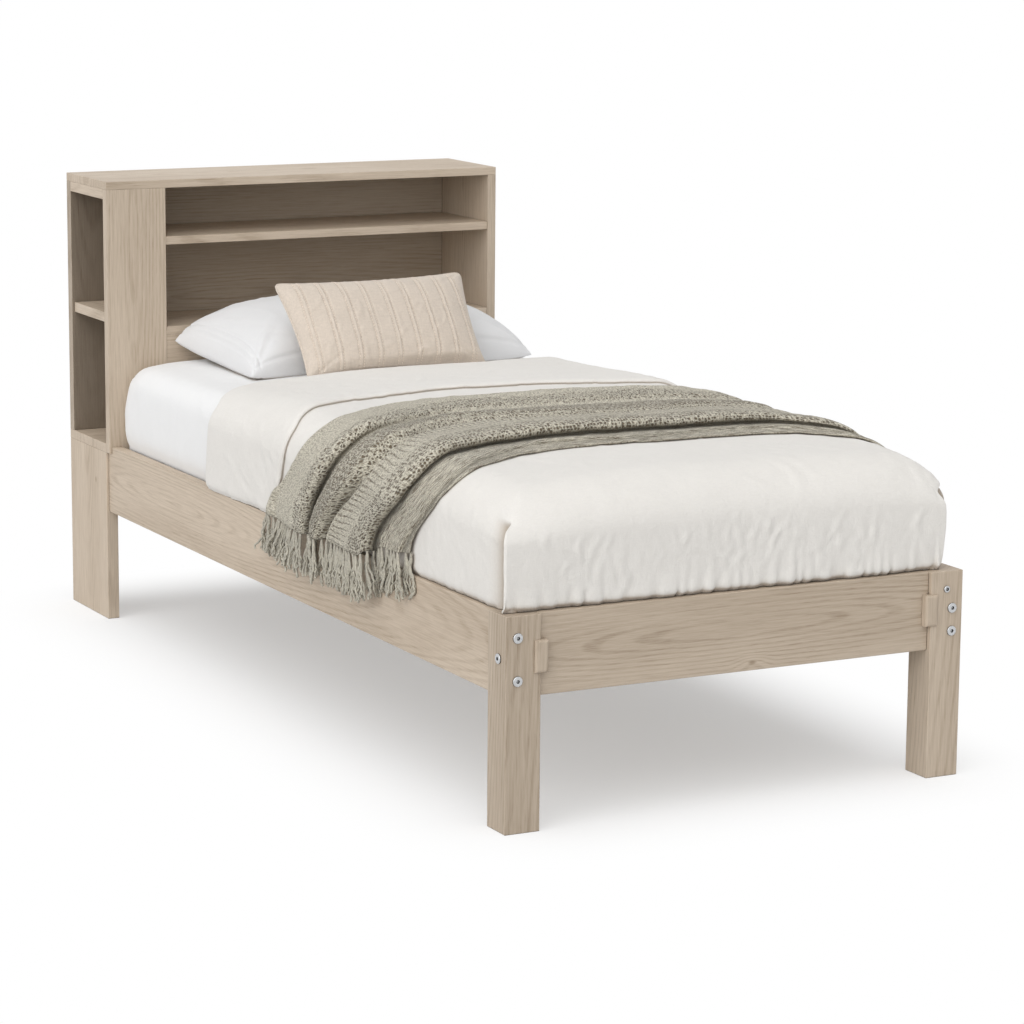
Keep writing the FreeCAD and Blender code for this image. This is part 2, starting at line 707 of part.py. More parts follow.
# ---------------------------------------------------------------- cushions
def stuffed(w, d, rise, sink, draw, channels=0, depth=0.0, g=0.0):
    """Crowned cushion on the XY plane with drawn-in sides."""
    wires = []
    stations = []
    n = 10
    for k in range(n + 1):
        stations.append((-0.5 + k / n, 0.0))
    if channels:
        stations = []
        for k in range(2 * channels + 1):
            stations.append((-0.5 + k / (2.0 * channels), k % 2))
    for u, ridge in stations:
        x = u * (w + 2 * g)
        s = abs(2 * u)
        half = d / 2 - draw * (1 - s ** 3) + g
        full = (1 - s ** 4) ** 0.5
        top = rise * (0.06 + 0.94 * full) + g
        low = sink * (0.06 + 0.94 * full) + g
        if channels and s < 0.97:
            top = top - (0.0 if ridge else depth)
        seam = 2.0
        pts = [V(x, -half, -seam), V(x, -half, seam), V(x, half, seam),
               V(x, half, -seam)]
        edges = [Part.makeLine(pts[0], pts[1]),
                 arc(pts[1], V(x, 0, max(top, seam + 2)), pts[2]),
                 Part.makeLine(pts[2], pts[3]),
                 arc(pts[3], V(x, 0, -max(low, seam + 2)), pts[0])]
        wires.append(Part.Wire(edges))
    solid = loft(wires)
    # the two short ends are drawn in between their corners
    sag = draw
    radius = (d * d / 4 + sag * sag) / (2 * sag)
    for sign in (-1, 1):
        reach = w / 2 + g - sag + radius
        cutter = Part.makeCylinder(radius, 4 * (rise + sink),
                                   V(sign * reach, 0, -2 * (rise + sink)))
        solid = solid.cut(cutter)
    return solid


def place(solid, x, y, z, pitch, yaw):
    turn = FreeCAD.Rotation(Z, yaw).multiply(FreeCAD.Rotation(X, pitch))
    solid.Placement = FreeCAD.Placement(V(x, y, z), turn)
    return solid


cushion_s = math.sin(math.radians(cushion_lean))
cushion_c = math.cos(math.radians(cushion_lean))
cushion_z = mattress_crown_top + cushion_lift + cushion_d / 2 * cushion_s
cushion_mid_y = cushion_y + cushion_d / 2 * cushion_c


def make_cushion(g):
    solid = stuffed(cushion_w, cushion_d, cushion_t / 2, cushion_t / 2,
                    cushion_draw, cushion_channels, channel_depth, g)
    return place(solid, cushion_x, cushion_mid_y, cushion_z, cushion_lean,
                 cushion_yaw)


def make_pillow(g):
    solid = stuffed(pillow_w, pillow_d, pillow_rise, pillow_sink,
                    pillow_draw, g=g)
    return place(solid, pillow_x, pillow_y, mattress_crown_top + pillow_lift,
                 pillow_pitch, pillow_yaw)


bookcase_face = box(-50, bed_w + 50, case_front - soft_gap, case_back,
                    floor_top, case_top + 50)
cushion = pierce(make_cushion(0.0), duvet_clear, mattress_clear)
put("lumbar_cushion", max(cushion.Solids, key=lambda s: s.Volume))
pillow = pierce(make_pillow(0.0), mattress_clear, duvet_clear,
                make_cushion(soft_gap), bookcase_face)
put("pillow", max(pillow.Solids, key=lambda s: s.Volume))

# ---------------------------------------------------------------- throw
# Stations along the throw, from its left hem over the bed to its right hem:
# (x, z, direction the section leans, foot-side y, head-side y)
lip = 6.0
left_x = duvet_x0 - duvet_bulge
right_x = duvet_x1 + duvet_bulge
crown_z = duvet_z1 + duvet_crown
stations = [
    (left_x, throw_hem_z, 180, 359, 1068),
    (left_x, 470.0, 180, 330, 996),
    (left_x, 530.0, 180, 295, 920),
    (left_x + 2, duvet_z1 - 58, 172, 240, 885),
    (left_x + 20, duvet_z1 - 20, 140, 228, 868),
    (left_x + 52, duvet_z1 - 1, 108, 232, 858),
    (160.0, duvet_z1 + 5, 92, 262, 856),
    (310.0, crown_z - 2, 91, 300, 898),
    (480.0, crown_z, 90, 286, 918),
    (620.0, crown_z - 1, 89, 256, 942),
    (790.0, duvet_z1 + 6, 88, 252, 1010),
    (right_x - 52, duvet_z1 - 1, 72, 280, 1100),
    (right_x - 20, duvet_z1 - 20, 40, 290, 1150),
    (right_x - 2, duvet_z1 - 58, 8, 295, 1176),
    (right_x, 530.0, 0, 298, 1190),
    (right_x, throw_hem_z, 0, 300, 1200),
]
side_room = duvet_x0 - duvet_bulge + throw_overhang


def throw_wire(x, z, lean, y0, y1, lift):
    """Folded section: arcs for the folds over a straight underside."""
    out = V(math.cos(math.radians(lean)), 0, math.sin(math.radians(lean)))
    base = V(x, 0, z)

    def at(y, h):
        return base + V(0, y, 0) + out * h
    n = 2 * throw_folds + 1
    step = (y1 - y0) / float(n)
    edges = [Part.makeLine(at(y0, -lip), at(y0, throw_t))]
    for k in range(n):
        a = y0 + k * step
        h = lift if k % 2 else throw_t * 0.6
        up = throw_t + (h - throw_t if k % 2 else 1.2)
        edges.append(arc(at(a, throw_t), at(a + step * 0.5, up),
                         at(a + step, throw_t)))
    edges.append(Part.makeLine(at(y1, throw_t), at(y1, -lip)))
    edges.append(Part.makeLine(at(y1, -lip), at(y0, -lip)))
    return Part.Wire(edges)


throw_wires = []
for x, z, lean, y0, y1 in stations:
    up = abs(math.sin(math.radians(lean)))
    lift = side_room + (throw_t + throw_fold - side_room) * up
    throw_wires.append(throw_wire(x, z, lean, y0, y1, lift))
throw = loft(throw_wires).cut(duvet_clear)
throw = max(throw.Solids, key=lambda s: s.Volume)
put("throw", throw)

fringe = []
for x, lean, y0, y1 in ((stations[0][0], -1, stations[0][3], stations[0][4]),
                        (stations[-1][0], 1, stations[-1][3],
                         stations[-1][4])):
    for k in range(fringe_count):
        y = y0 + (y1 - y0) * (k + 0.5) / fringe_count
        top = V(x + lean * fringe_d * 0.75, y,
                throw_hem_z - soft_gap - fringe_d * 0.06)
        drop = fringe_l * (1 - 0.12 * math.sin(2.4 * k + lean))
        sway = V(lean * 0.02, 0.10 * math.sin(1.9 * k), -1)
        fringe.append(Part.makeCone(fringe_d / 2, fringe_tip_d / 2, drop, top,
                                    sway))
put("throw_fringe", Part.makeCompound(fringe))

# ---------------------------------------------------------------- output
os.makedirs("parts", exist_ok=True)
low = V(1e9, 1e9, 1e9)
high = low * -1
for name, shape in parts.items():
    shape.exportStep("parts/" + name + ".step")
    b = shape.BoundBox
    low = V(min(low.x, b.XMin), min(low.y, b.YMin), min(low.z, b.ZMin))
    high = V(max(high.x, b.XMax), max(high.y, b.YMax), max(high.z, b.ZMax))
    if not shape.isValid() or shape.Volume <= 0:
        print("CHECK", name, shape.isValid(), shape.Volume)
print(len(parts), "nodes, bounds", [round(v, 2) for v in low],
      [round(v, 2) for v in high])
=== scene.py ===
"""Single bed with a bookcase headboard: finishes of its wood and hardware, and its bedding."""
import math

import bpy
import numpy as np
from bpy.props import (FloatProperty, FloatVectorProperty, IntProperty,
                       PointerProperty)
from mathutils import Matrix, Vector
from mathutils.bvhtree import BVHTree


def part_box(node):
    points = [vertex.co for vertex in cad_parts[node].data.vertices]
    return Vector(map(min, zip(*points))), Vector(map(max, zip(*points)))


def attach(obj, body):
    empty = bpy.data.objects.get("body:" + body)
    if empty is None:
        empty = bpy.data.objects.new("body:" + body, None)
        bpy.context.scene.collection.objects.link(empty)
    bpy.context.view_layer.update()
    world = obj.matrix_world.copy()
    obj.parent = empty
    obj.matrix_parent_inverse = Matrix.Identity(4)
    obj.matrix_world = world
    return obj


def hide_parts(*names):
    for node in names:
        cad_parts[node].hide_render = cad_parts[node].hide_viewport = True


bl_info = {
    "name": "Bookcase Bed",
    "version": (1, 0, 0),
    "blender": (4, 5, 0),
    "location": "View3D > Sidebar > Bed",
    "description": "Finishes and bedding for a single bed with a bookcase headboard",
    "category": "Object",
}

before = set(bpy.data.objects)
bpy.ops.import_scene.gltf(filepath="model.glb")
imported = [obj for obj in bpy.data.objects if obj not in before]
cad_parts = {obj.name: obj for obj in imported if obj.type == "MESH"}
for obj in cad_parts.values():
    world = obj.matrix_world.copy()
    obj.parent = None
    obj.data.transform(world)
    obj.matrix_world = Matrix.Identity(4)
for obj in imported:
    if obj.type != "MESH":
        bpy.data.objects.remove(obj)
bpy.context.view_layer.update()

# Bed measures are millimetres from the left legs' outer face, from the foot
# legs' front face and from the floor. This is the frame's origin in them.
ORIGIN = np.array([482.5, 1089.5, 0.0])
MIDDLE_X = ORIGIN[0]


# ------------------------------------------------------------------ shaping
def mesh_piece(name, points, faces, material, uv=None, smooth=True):
    """A mesh object from bed measures, with a cloth map in metres."""
    mesh = bpy.data.meshes.new(name)
    mesh.from_pydata(((points - ORIGIN) / 1000.0).tolist(), [], faces)
    if smooth:
        mesh.shade_smooth()
    if uv is not None:
        layer = mesh.uv_layers.new(name="cut")
        index = np.empty(len(mesh.loops), int)
        mesh.loops.foreach_get("vertex_index", index)
        layer.data.foreach_set("uv", uv[index].astype(np.float32).ravel())
    mesh.materials.append(material)
    piece = bpy.data.objects.new(name, mesh)
    bpy.context.scene.collection.objects.link(piece)
    mesh.validate()
    return piece


def plain_mesh(piece, name):
    """The finished mesh of a piece's modifiers, as an object of its own."""
    bpy.context.view_layer.update()
    graph = bpy.context.evaluated_depsgraph_get()
    mesh = bpy.data.meshes.new_from_object(piece.evaluated_get(graph))
    done = bpy.data.objects.new(name, mesh)
    bpy.context.scene.collection.objects.link(done)
    bpy.data.objects.remove(piece)
    return done


def thicken(piece, thickness):
    """Gives a cloth surface its thickness, inwards."""
    wall = piece.modifiers.new("thickness", "SOLIDIFY")
    wall.thickness = thickness
    wall.offset = -1.0
    wall.use_even_offset = False


def grid_faces(rows, columns):
    """Quads over a grid of rows and columns of points."""
    r, c = np.meshgrid(np.arange(rows - 1), np.arange(columns - 1),
                       indexing="ij")
    a = (r * columns + c).ravel()
    return np.stack([a, a + 1, a + columns + 1, a + columns], 1).tolist()


def block_lattice(xs, ys, zs, sides):
    """Points and quads over the named sides of a block, merged at its edges."""
    counts = {"x": len(xs), "y": len(ys), "z": len(zs)}
    planes = {
        "left": ("x", 0, "z", "y"), "right": ("x", -1, "y", "z"),
        "foot": ("y", 0, "x", "z"), "head": ("y", -1, "z", "x"),
        "bottom": ("z", 0, "y", "x"), "top": ("z", -1, "x", "y")}
    seen, points, faces = {}, [], []

    def corner(key):
        if key not in seen:
            seen[key] = len(points)
            points.append((xs[key[0]], ys[key[1]], zs[key[2]]))
        return seen[key]

    for side in sides:
        fixed, at, u, v = planes[side]
        at = at % counts[fixed]
        for i in range(counts[u] - 1):
            for j in range(counts[v] - 1):
                ring = []
                for di, dj in ((0, 0), (1, 0), (1, 1), (0, 1)):
                    key = {fixed: at, u: i + di, v: j + dj}
                    ring.append(corner((key["x"], key["y"], key["z"])))
                faces.append(ring)
    return np.array(points), faces


def rounded(points, low, high, radius, square=2.0):
    """Rounds a block's edges; a higher square keeps its upright edges sharper."""
    inner = np.clip(points, np.array(low) + radius, np.array(high) - radius)
    d = (points - inner) / radius
    flat = (np.abs(d[:, 0]) ** square + np.abs(d[:, 1]) ** square)
    size = np.sqrt(flat ** (2.0 / square) + d[:, 2] ** 2)
    return inner + d / np.maximum(size, 1e-9)[:, None] * radius * (size > 0)[:, None]


def normals(points, faces):
    """Outward directions at the points of a quad mesh."""
    f = np.array(faces)
    n = np.cross(points[f[:, 2]] - points[f[:, 0]],
                 points[f[:, 3]] - points[f[:, 1]])
    total = np.zeros_like(points)
    for k in range(4):
        np.add.at(total, f[:, k], n)
    return total / np.maximum(np.linalg.norm(total, axis=1), 1e-12)[:, None]


def softened(values, times, axis):
    """Evens out an array along one axis."""
    for _ in range(times):
        pad = [(0, 0)] * values.ndim
        pad[axis] = (1, 1)
        wide = np.pad(values, pad, mode="edge")
        n = values.shape[axis]
        values = (np.take(wide, range(0, n), axis) + 2 * values
                  + np.take(wide, range(2, n + 2), axis)) / 4.0
    return values


def step_up(value, start, end):
    """Rises smoothly from 0 at start to 1 at end."""
    t = np.clip((value - start) / (end - start), 0, 1)
    return t * t * (3 - 2 * t)


def bell(distance, width, power=2):
    """Is 1 at distance 0 and falls off over the width."""
    return np.exp(-(distance / width) ** power)


def ridge(across):
    """Section of a crease: a ridge with a shallow valley at each side."""
    return (1 - across * across) * np.exp(-across * across / 1.6)


def crown(x, half_width):
    """Arch across the bed: 1 at its middle, 0 at the half width."""
    return 1 - ((x - MIDDLE_X) / half_width) ** 2


def unevenness(points, size, seed, layers=2):
    """Soft random heights from -1 to 1, with lumps about size across."""
    total, weight = 0.0, 0.0
    for layer in range(layers):
        q = points / size * 2.0 ** layer + 31.7 * (layer + 1)
        cell = np.floor(q).astype(np.int64)
        f = q - cell
        f = f * f * f * (f * (f * 6 - 15) + 10)
        level = 0.0
        for k in range(8):
            step = np.array([k & 1, (k >> 1) & 1, (k >> 2) & 1])
            c = cell + step
            h = (c[:, 0] * 73856093 ^ c[:, 1] * 19349663 ^ c[:, 2] * 83492791
                 ^ (seed * 2654435 + layer * 977)) & 0x7FFFFFFF
            h = ((h ^ (h >> 13)) * 1274126177) & 0x7FFFFFFF
            share = np.prod(np.where(step == 1, f, 1 - f), axis=1)
            level = level + share * (h / 0x3FFFFFFF - 1.0)
        total = total + level * 0.5 ** layer
        weight += 0.5 ** layer
    return total / weight


def uneven_over(a, b, c, size, seed, layers=2):
    """Unevenness over three measures, each an array or one number."""
    return unevenness(np.stack(np.broadcast_arrays(a, b, c), -1), size, seed,
                      layers)


def creases(a, b, seed, count, a_range, b_range, length, width, height,
            direction=0.0, spread=math.pi):
    """Short curved creases scattered over a patch of cloth, as heights."""
    rng = np.random.default_rng(seed)
    total = np.zeros(len(a))
    for _ in range(count):
        ca, cb = rng.uniform(*a_range), rng.uniform(*b_range)
        turn = direction + rng.uniform(-0.5, 0.5) * spread
        long = length * rng.uniform(0.5, 1.4)
        wide = width * rng.uniform(0.6, 1.4)
        bend = rng.normal(0, 0.35) / length
        along = (a - ca) * math.cos(turn) + (b - cb) * math.sin(turn)
        across = ((b - cb) * math.cos(turn) - (a - ca) * math.sin(turn)
                  + bend * along ** 2)
        near = (np.abs(along) < 2.4 * long) & (np.abs(across) < 3.2 * wide)
        total[near] += (height * rng.uniform(0.4, 1.0)
                        * bell(along[near], long) * ridge(across[near] / wide))
    return total


# ---------------------------------------------------------------- materials
class Value:
    """A node's output. Sums on it, such as value * 2.0, add Math nodes."""

    def __init__(self, node, output=0):
        self.node = node
        self.tree = node.id_data
        self.socket = node.outputs[output] if node.outputs else None

    def __getitem__(self, output):
        return Value(self.node, output)

    def calc(self, operation, *others):
        return put(self.tree, "ShaderNodeMath", dict(enumerate((self, *others))),
                   operation=operation)

    def vector(self, operation, *others):
        return put(self.tree, "ShaderNodeVectorMath",
                   dict(enumerate((self, *others))), operation=operation)

    def __add__(self, other):
        return self.calc("ADD", other)

    def __sub__(self, other):
        return self.calc("SUBTRACT", other)

    def __mul__(self, other):
        return self.calc("MULTIPLY", other)

    def __truediv__(self, other):
        return self.calc("DIVIDE", other)


def feed(node, inputs):
    """Sets a node's inputs, each to a plain value or to another node's output."""
    for name, value in inputs.items():
        if isinstance(value, Value):
            node.id_data.links.new(value.socket, node.inputs[name])
        else:
            node.inputs[name].default_value = value


def put(tree, kind, inputs=None, **settings):
    """Adds a node and returns its first output."""
    node = tree.nodes.new(kind)
    for name, value in settings.items():
        setattr(node, name, value)
    feed(node, inputs or {})
    return Value(node)


def ramp(value, low, high, to_low=0.0, to_high=1.0, curve="SMOOTHSTEP"):
    """Moves a value from one range to another, held at its ends."""
    return put(value.tree, "ShaderNodeMapRange",
               {"Value": value, "From Min": low, "From Max": high,
                "To Min": to_low, "To Max": to_high}, interpolation_type=curve)


def tint(share, first, second):
    """Mixes two colours."""
    return put(share.tree, "ShaderNodeMix", {0: share, 6: first, 7: second},
               data_type="RGBA")[2]


def mottle(place, scale, detail=2.0, roughness=0.5, stretch=None, distortion=0.0):
    """Random texture, stretched where the finish has a direction."""
    if stretch:
        place = place.vector("MULTIPLY", stretch)
    return put(place.tree, "ShaderNodeTexNoise",
               {"Vector": place, "Scale": scale, "Detail": detail,
                "Roughness": roughness, "Distortion": distortion})


def openness(tree, distance, samples=8):
    """How open a place is: 1 on a flat face, near 0 deep in a gap."""
    return put(tree, "ShaderNodeAmbientOcclusion", {"Distance": distance},
               samples=samples)["AO"]


def bumped(height, strength, distance, **others):
    """Bump from a height."""
    return put(height.tree, "ShaderNodeBump",
               {"Height": height, "Strength": strength, "Distance": distance,
                **others})


def new_finish(name):
    """An empty material, its tree and its main shader."""
    finish = bpy.data.materials.new(name)
    finish.use_nodes = True
    tree = finish.node_tree
    return finish, tree, tree.nodes["Principled BSDF"]


def toned(colour, share):
    """A colour made darker or paler."""
    return [min(1.0, c * share) for c in colour]


def rgba(colour, share=1.0):
    """A colour as a node takes it, made darker or paler by a share."""
    return (*toned(colour, share), 1.0)


def oak_grain_group():
    """Growth rings, fibres and pores of a sawn board that runs along X."""
    tree = bpy.data.node_groups.new("oak grain", "ShaderNodeTree")
    for way, names in (
            ("INPUT", {"Vector": "Vector", "Heart": "Vector", "Figure": "Float",
                       "Pale": "Color", "Dark": "Color", "Knot": "Vector",
                       "Knot Size": "Float"}),
            ("OUTPUT", {"Color": "Color", "Roughness": "Float", "Height": "Float"})):
        for name, kind in names.items():
            tree.interface.new_socket(name, in_out=way,
                                      socket_type="NodeSocket" + kind)
    given = Value(tree.nodes.new("NodeGroupInput"))
    place = given["Vector"]

    def from_spot(spot, stretch):
        away = place.vector("SUBTRACT", spot).vector("MULTIPLY", stretch)
        return away.vector("LENGTH")["Value"]

    # growth rings: long nested loops about the board's heart
    ring = from_spot(given["Heart"], (0.085, 1.0, 1.0)) * 820.0
    broad = mottle(place, 1.0, 1.5, 0.5, (1.3, 9.0, 9.0))
    shiver = mottle(place, 1.0, 2.0, 0.6, (11.0, 60.0, 60.0))
    # the rings part round a knot, which has a dark core
    reach = from_spot(given["Knot"], (0.45, 1.0, 1.0))
    size = given["Knot Size"]
    pull = ramp(reach, 0.0, size * 5.0, 1.0, 0.0)
    core = ramp(reach, size * 0.3, size, 1.0, 0.0, "LINEAR")
    lines = ring + broad * given["Figure"] + shiver * 3.0 + pull * 10.0
    drift = mottle(place, 1.0, 2.0, 0.5, (2.2, 20.0, 20.0))
    late = ramp(lines.calc("SINE"), -0.1, 1.0) * ramp(drift, 0.36, 0.62, 0.25, 1.0)
    # fibres, pores drawn out into dashes, and cloudy patches
    fibre = mottle(place, 1.0, 3.0, 0.7, (11.0, 430.0, 430.0))
    pores = mottle(place, 1.0, 2.0, 0.6, (26.0, 780.0, 780.0))
    dashes = ramp(pores, 0.52, 0.66) * (late * 0.6 + 0.4)
    cloud = mottle(place, 1.0, 2.0, 0.5, (1.6, 9.0, 9.0))
    depth = (late * 0.22 + ramp(fibre, 0.36, 0.66) * 0.25
             + ramp(cloud, 0.33, 0.68) * 0.22 + dashes * 0.28 + core * 0.7)
    put(tree, "NodeGroupOutput",
        {"Color": tint(depth, given["Pale"], given["Dark"]),
         "Roughness": ramp(depth, 0.0, 1.1, 0.48, 0.68),
         "Height": fibre * -0.5 + dashes * -0.9})


# the turn that brings the axis which a board's grain runs along to X
TURNS = {"X": (0.0, 0.0, 0.0), "Y": (0.0, 0.0, -math.pi / 2),
         "Z": (0.0, math.pi / 2, 0.0)}
# how far the rings' middle lies from the board's own, across the grain; the
# foot legs are sawn clear of the heart
HEART_AWAY = (0.006, 0.009)
LEG_HEART_AWAY = (0.096, 0.072)


def board_finish(name, node, along, shift, figure, pale, dark, edge_paling=0.12,
                 heart=0.0, knot=None, knot_size=0.0, hollow_shade=0.0):
    """Oiled board whose grain runs along one axis, paler along its edges, with painted shade
    in its joints and, where asked, deep in the bookcase.
    """
    finish, tree, shader = new_finish(name)
    _x, tip, spin = TURNS[along]
    turn = Matrix.Rotation(spin, 3, "Z") @ Matrix.Rotation(tip, 3, "Y")
    low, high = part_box(node)
    away = LEG_HEART_AWAY if node.startswith("foot_leg") else HEART_AWAY
    middle = turn @ ((low + high) / 2) + Vector(shift) + Vector((heart, *away))
    place = put(tree, "ShaderNodeTexCoord")["Object"]
    turned_place = put(tree, "ShaderNodeMapping",
                       {"Vector": place, "Location": shift, "Rotation": TURNS[along]})
    grain = put(tree, "ShaderNodeGroup", node_tree=bpy.data.node_groups["oak grain"])
    feed(grain.node, {"Vector": turned_place, "Heart": middle, "Figure": figure,
                      "Pale": rgba(pale), "Dark": rgba(dark),
                      "Knot Size": knot_size})
    if knot:
        feed(grain.node, {"Knot": turn @ Vector(knot) + Vector(shift)})
    # paler along the edges; painted shade darkens the joints and the boards deep in the
    # bookcase
    soft = put(tree, "ShaderNodeBevel", {"Radius": 0.002}, samples=4)
    plain = put(tree, "ShaderNodeNewGeometry")["Normal"]
    level = soft.vector("DOT_PRODUCT", plain)["Value"]
    colour = tint(ramp(level, 0.995, 0.86, 0.0, edge_paling), grain["Color"],
                  rgba(pale, 1.3))
    # painted shade: darker in the narrow gaps between boards, where light does not reach
    joint = ramp(openness(tree, 0.006, 6), 0.62, 0.30, 0.0, 0.75)
    colour = tint(joint, colour, rgba(dark, 0.3))
    if hollow_shade:
        # painted shade deep in the bookcase, darkest where the boards are most shut in
        deep = ramp(openness(tree, 0.3), 0.72, 0.42, 0.0, hollow_shade)
        colour = tint(deep, colour, rgba(dark, 0.25))
    feed(shader, {"Base Color": colour, "Roughness": grain["Roughness"],
                  "Normal": bumped(grain["Height"], 0.4, 0.0006, Normal=soft),
                  "Specular IOR Level": 0.32})
    return finish


def zinc_finish(settings):
    """Zinc-plated steel: bright, slightly clouded, with fine turning marks and painted shade
    in its recesses.
    """
    finish, tree, shader = new_finish("zinc plated steel")
    place = put(tree, "ShaderNodeTexCoord")["Object"]
    cloud = mottle(place, 260.0, 3.0, 0.6)
    scratch = mottle(place, 1.0, 2.0, 0.6, (900.0, 900.0, 120.0))
    shade = cloud * 0.6 + scratch * 0.4
    zinc = settings.zinc
    colour = tint(ramp(shade, 0.35, 0.65), rgba(zinc, 0.82), rgba(zinc))
    # painted shade: near black deep in the bolts' sockets and other recesses
    recess_shade = ramp(openness(tree, 0.006), 0.9, 0.45)
    feed(shader, {"Base Color": tint(recess_shade, colour, rgba(zinc, 0.06)),
                  "Roughness": ramp(shade, 0.3, 0.7, 0.2, 0.42),
                  "Metallic": 1.0, "Normal": bumped(scratch, 0.2, 0.0003)})
    return finish


def cotton_finish(name, colour, shade, thread=1.0, slub=0.25, depth=0.0005,
                  shade_in_tucks=(0.014, 0.55, 0.1)):
    """Woven cotton: crossed threads with slubs, soft mottling and sheen, and painted shade in
    its tucks.
    """
    finish, tree, shader = new_finish(name)
    place = put(tree, "ShaderNodeTexCoord")["Object"]
    fine, long = 640.0 / thread, 95.0 / thread
    along_x, along_y, along_z = (
        mottle(place, 1.0, 2.0, 0.6, stretch, 0.4)
        for stretch in ((long, fine, fine), (fine, long, fine), (fine, fine, long)))
    weave = (along_x + along_y + along_z) / 3.0
    cloud = mottle(place, 26.0, 3.0, 0.6)
    mix = (ramp(weave, 0.40, 0.60) * slub
           + ramp(cloud, 0.3, 0.7) * (0.35 * slub + 0.1))
    # painted shade in the tucks: brown where the cloth is shut in, and where the piece marks
    # it
    reach, start, full = shade_in_tucks
    shut = ramp(openness(tree, reach), start, full, 0.0, 0.6)
    tuck_shade_share = put(tree, "ShaderNodeAttribute", attribute_name="tuck_shade_mark")["Fac"]
    tuck_shade_colour = rgba([c * share for c, share in zip(colour, (0.40, 0.31, 0.22))])
    crumple = mottle(place, 1.0, 3.0, 0.55, (48.0, 62.0, 40.0), 0.8)
    height = weave + cloud * 0.5 + crumple * 2.2
    feed(shader, {"Base Color": tint(tuck_shade_share.calc("MAXIMUM", shut),
                                     tint(mix, rgba(colour), rgba(shade)), tuck_shade_colour),
                  "Roughness": ramp(weave, 0.3, 0.7, 0.86, 0.97),
                  "Normal": bumped(height, 0.5, depth),
                  "Specular IOR Level": 0.2, "Sheen Weight": 0.25,
                  "Sheen Roughness": 0.5})
    return finish


def knit_finish(settings, ends):
    """Open knit: plain, lace, cable, ladder and rib bands along the throw, with painted shade
    in its creases.
    """
    finish, tree, shader = new_finish("sage openwork knit")
    cut = put(tree, "ShaderNodeUVMap", uv_map="cut")
    apart = put(tree, "ShaderNodeSeparateXYZ", {0: cut})
    stray = (mottle(cut, 22.0, 2.0, 0.5) - 0.5) * 0.012
    u, v = apart[0] + stray, apart[1] + stray
    bent = put(tree, "ShaderNodeCombineXYZ", {0: u, 1: v, 2: 0.0})

    def wave(value, pitch):
        return (value * (2 * math.pi / pitch)).calc("SINE")

    def band(name, soft=0.004):
        low, high = ends[name]
        return (ramp(v, low - soft, low + soft)
                * ramp(v, high + soft, high - soft))

    def cells(scale, stray_share, low, high, feature="F1"):
        """Dark middles of uneven knit cells."""
        away = put(tree, "ShaderNodeTexVoronoi",
                   {"Vector": bent, "Scale": scale, "Randomness": stray_share},
                   feature=feature)["Distance"]
        return ramp(away, low, high)

    # the lace's holes in uneven rows, a band of round holes, and the closer
    # mesh of the cable band
    lace = band("lace_a").calc("MAXIMUM", band("lace_b")) * 0.95
    holes = (cells(150.0, 0.85, 0.08, 0.34, "DISTANCE_TO_EDGE") * lace).calc(
        "MAXIMUM", cells(128.0, 0.45, 0.5, 0.22) * (band("holes") * 0.9))
    cross = wave(u + wave(v, 0.034) * 0.007, 0.026).calc("ABSOLUTE")
    gaps = (ramp(cross, 0.5, 0.1) * 0.7).calc(
        "MAXIMUM", cells(140.0, 0.95, 0.06, 0.26, "DISTANCE_TO_EDGE"))
    gaps = gaps * (band("cable") * 0.78)
    # slits between the ladder's bars, widest at their head-side ends
    low, high = ends["ladder"]
    width = ramp(v, low, high, 0.7, 0.2)
    bars = wave(apart[0] + mottle(cut, 7.0, 1.0) * 0.035, 0.028).calc("ABSOLUTE")
    slits = band("ladder") * ramp(bars, width, width * 0.3, 0.0, 0.46, "LINEAR")
    # stitches of the plain knit, and ribs along the foot-side strip
    ribs = band("ribs")
    down_stitch = mottle(cut, 1.0, 2.0, 0.6, (330.0, 120.0, 1.0), 0.6)
    along_stitch = mottle(cut, 1.0, 2.0, 0.7, (34.0, 560.0, 1.0), 0.2)
    stitch = down_stitch * (ribs * -1.0 + 1.0) + along_stitch * ribs
    loops = wave(u, 0.0075) * wave(v, 0.0075)
    yarn = mottle(cut, 300.0, 3.0, 0.7)
    open_work = holes.calc("MAXIMUM", gaps.calc("MAXIMUM", slits))
    height = loops * 0.2 + open_work * -1.0 + yarn * 0.5 + stitch * 1.2
    tone = (open_work + ramp(stitch, 0.56, 0.38) * 0.5
            + ramp(yarn, 0.54, 0.34) * 0.3
            + ramp(along_stitch, 0.56, 0.42) * (ribs * 0.36)
            + ramp(loops, 0.1, -0.8) * 0.15)
    colour = tint(tone.calc("MINIMUM", 1.0), rgba(settings.yarn),
                  rgba((0.165, 0.13, 0.085)))
    # painted shade in the folds' creases, darker where the knit is shut in
    deep = ramp(openness(tree, 0.03), 0.8, 0.15, 0.0, 0.68)
    feed(shader, {"Base Color": tint(deep, colour, rgba((0.105, 0.085, 0.054))),
                  "Roughness": ramp(yarn, 0.3, 0.7, 0.84, 0.96),
                  "Normal": bumped(height, 1.0, 0.0035),
                  "Specular IOR Level": 0.15, "Sheen Weight": 0.2})
    return finish


# ----------------------------------------------------------------- settings
def colour_of(name, description, default):
    """A setting that holds a colour."""
    return FloatVectorProperty(name=name, description=description,
                               subtype="COLOR", size=3, min=0, max=1,
                               default=default)


def amount_of(name, description, default, least, most):
    """A setting that holds a number."""
    return FloatProperty(name=name, description=description, default=default,
                         min=least, max=most)


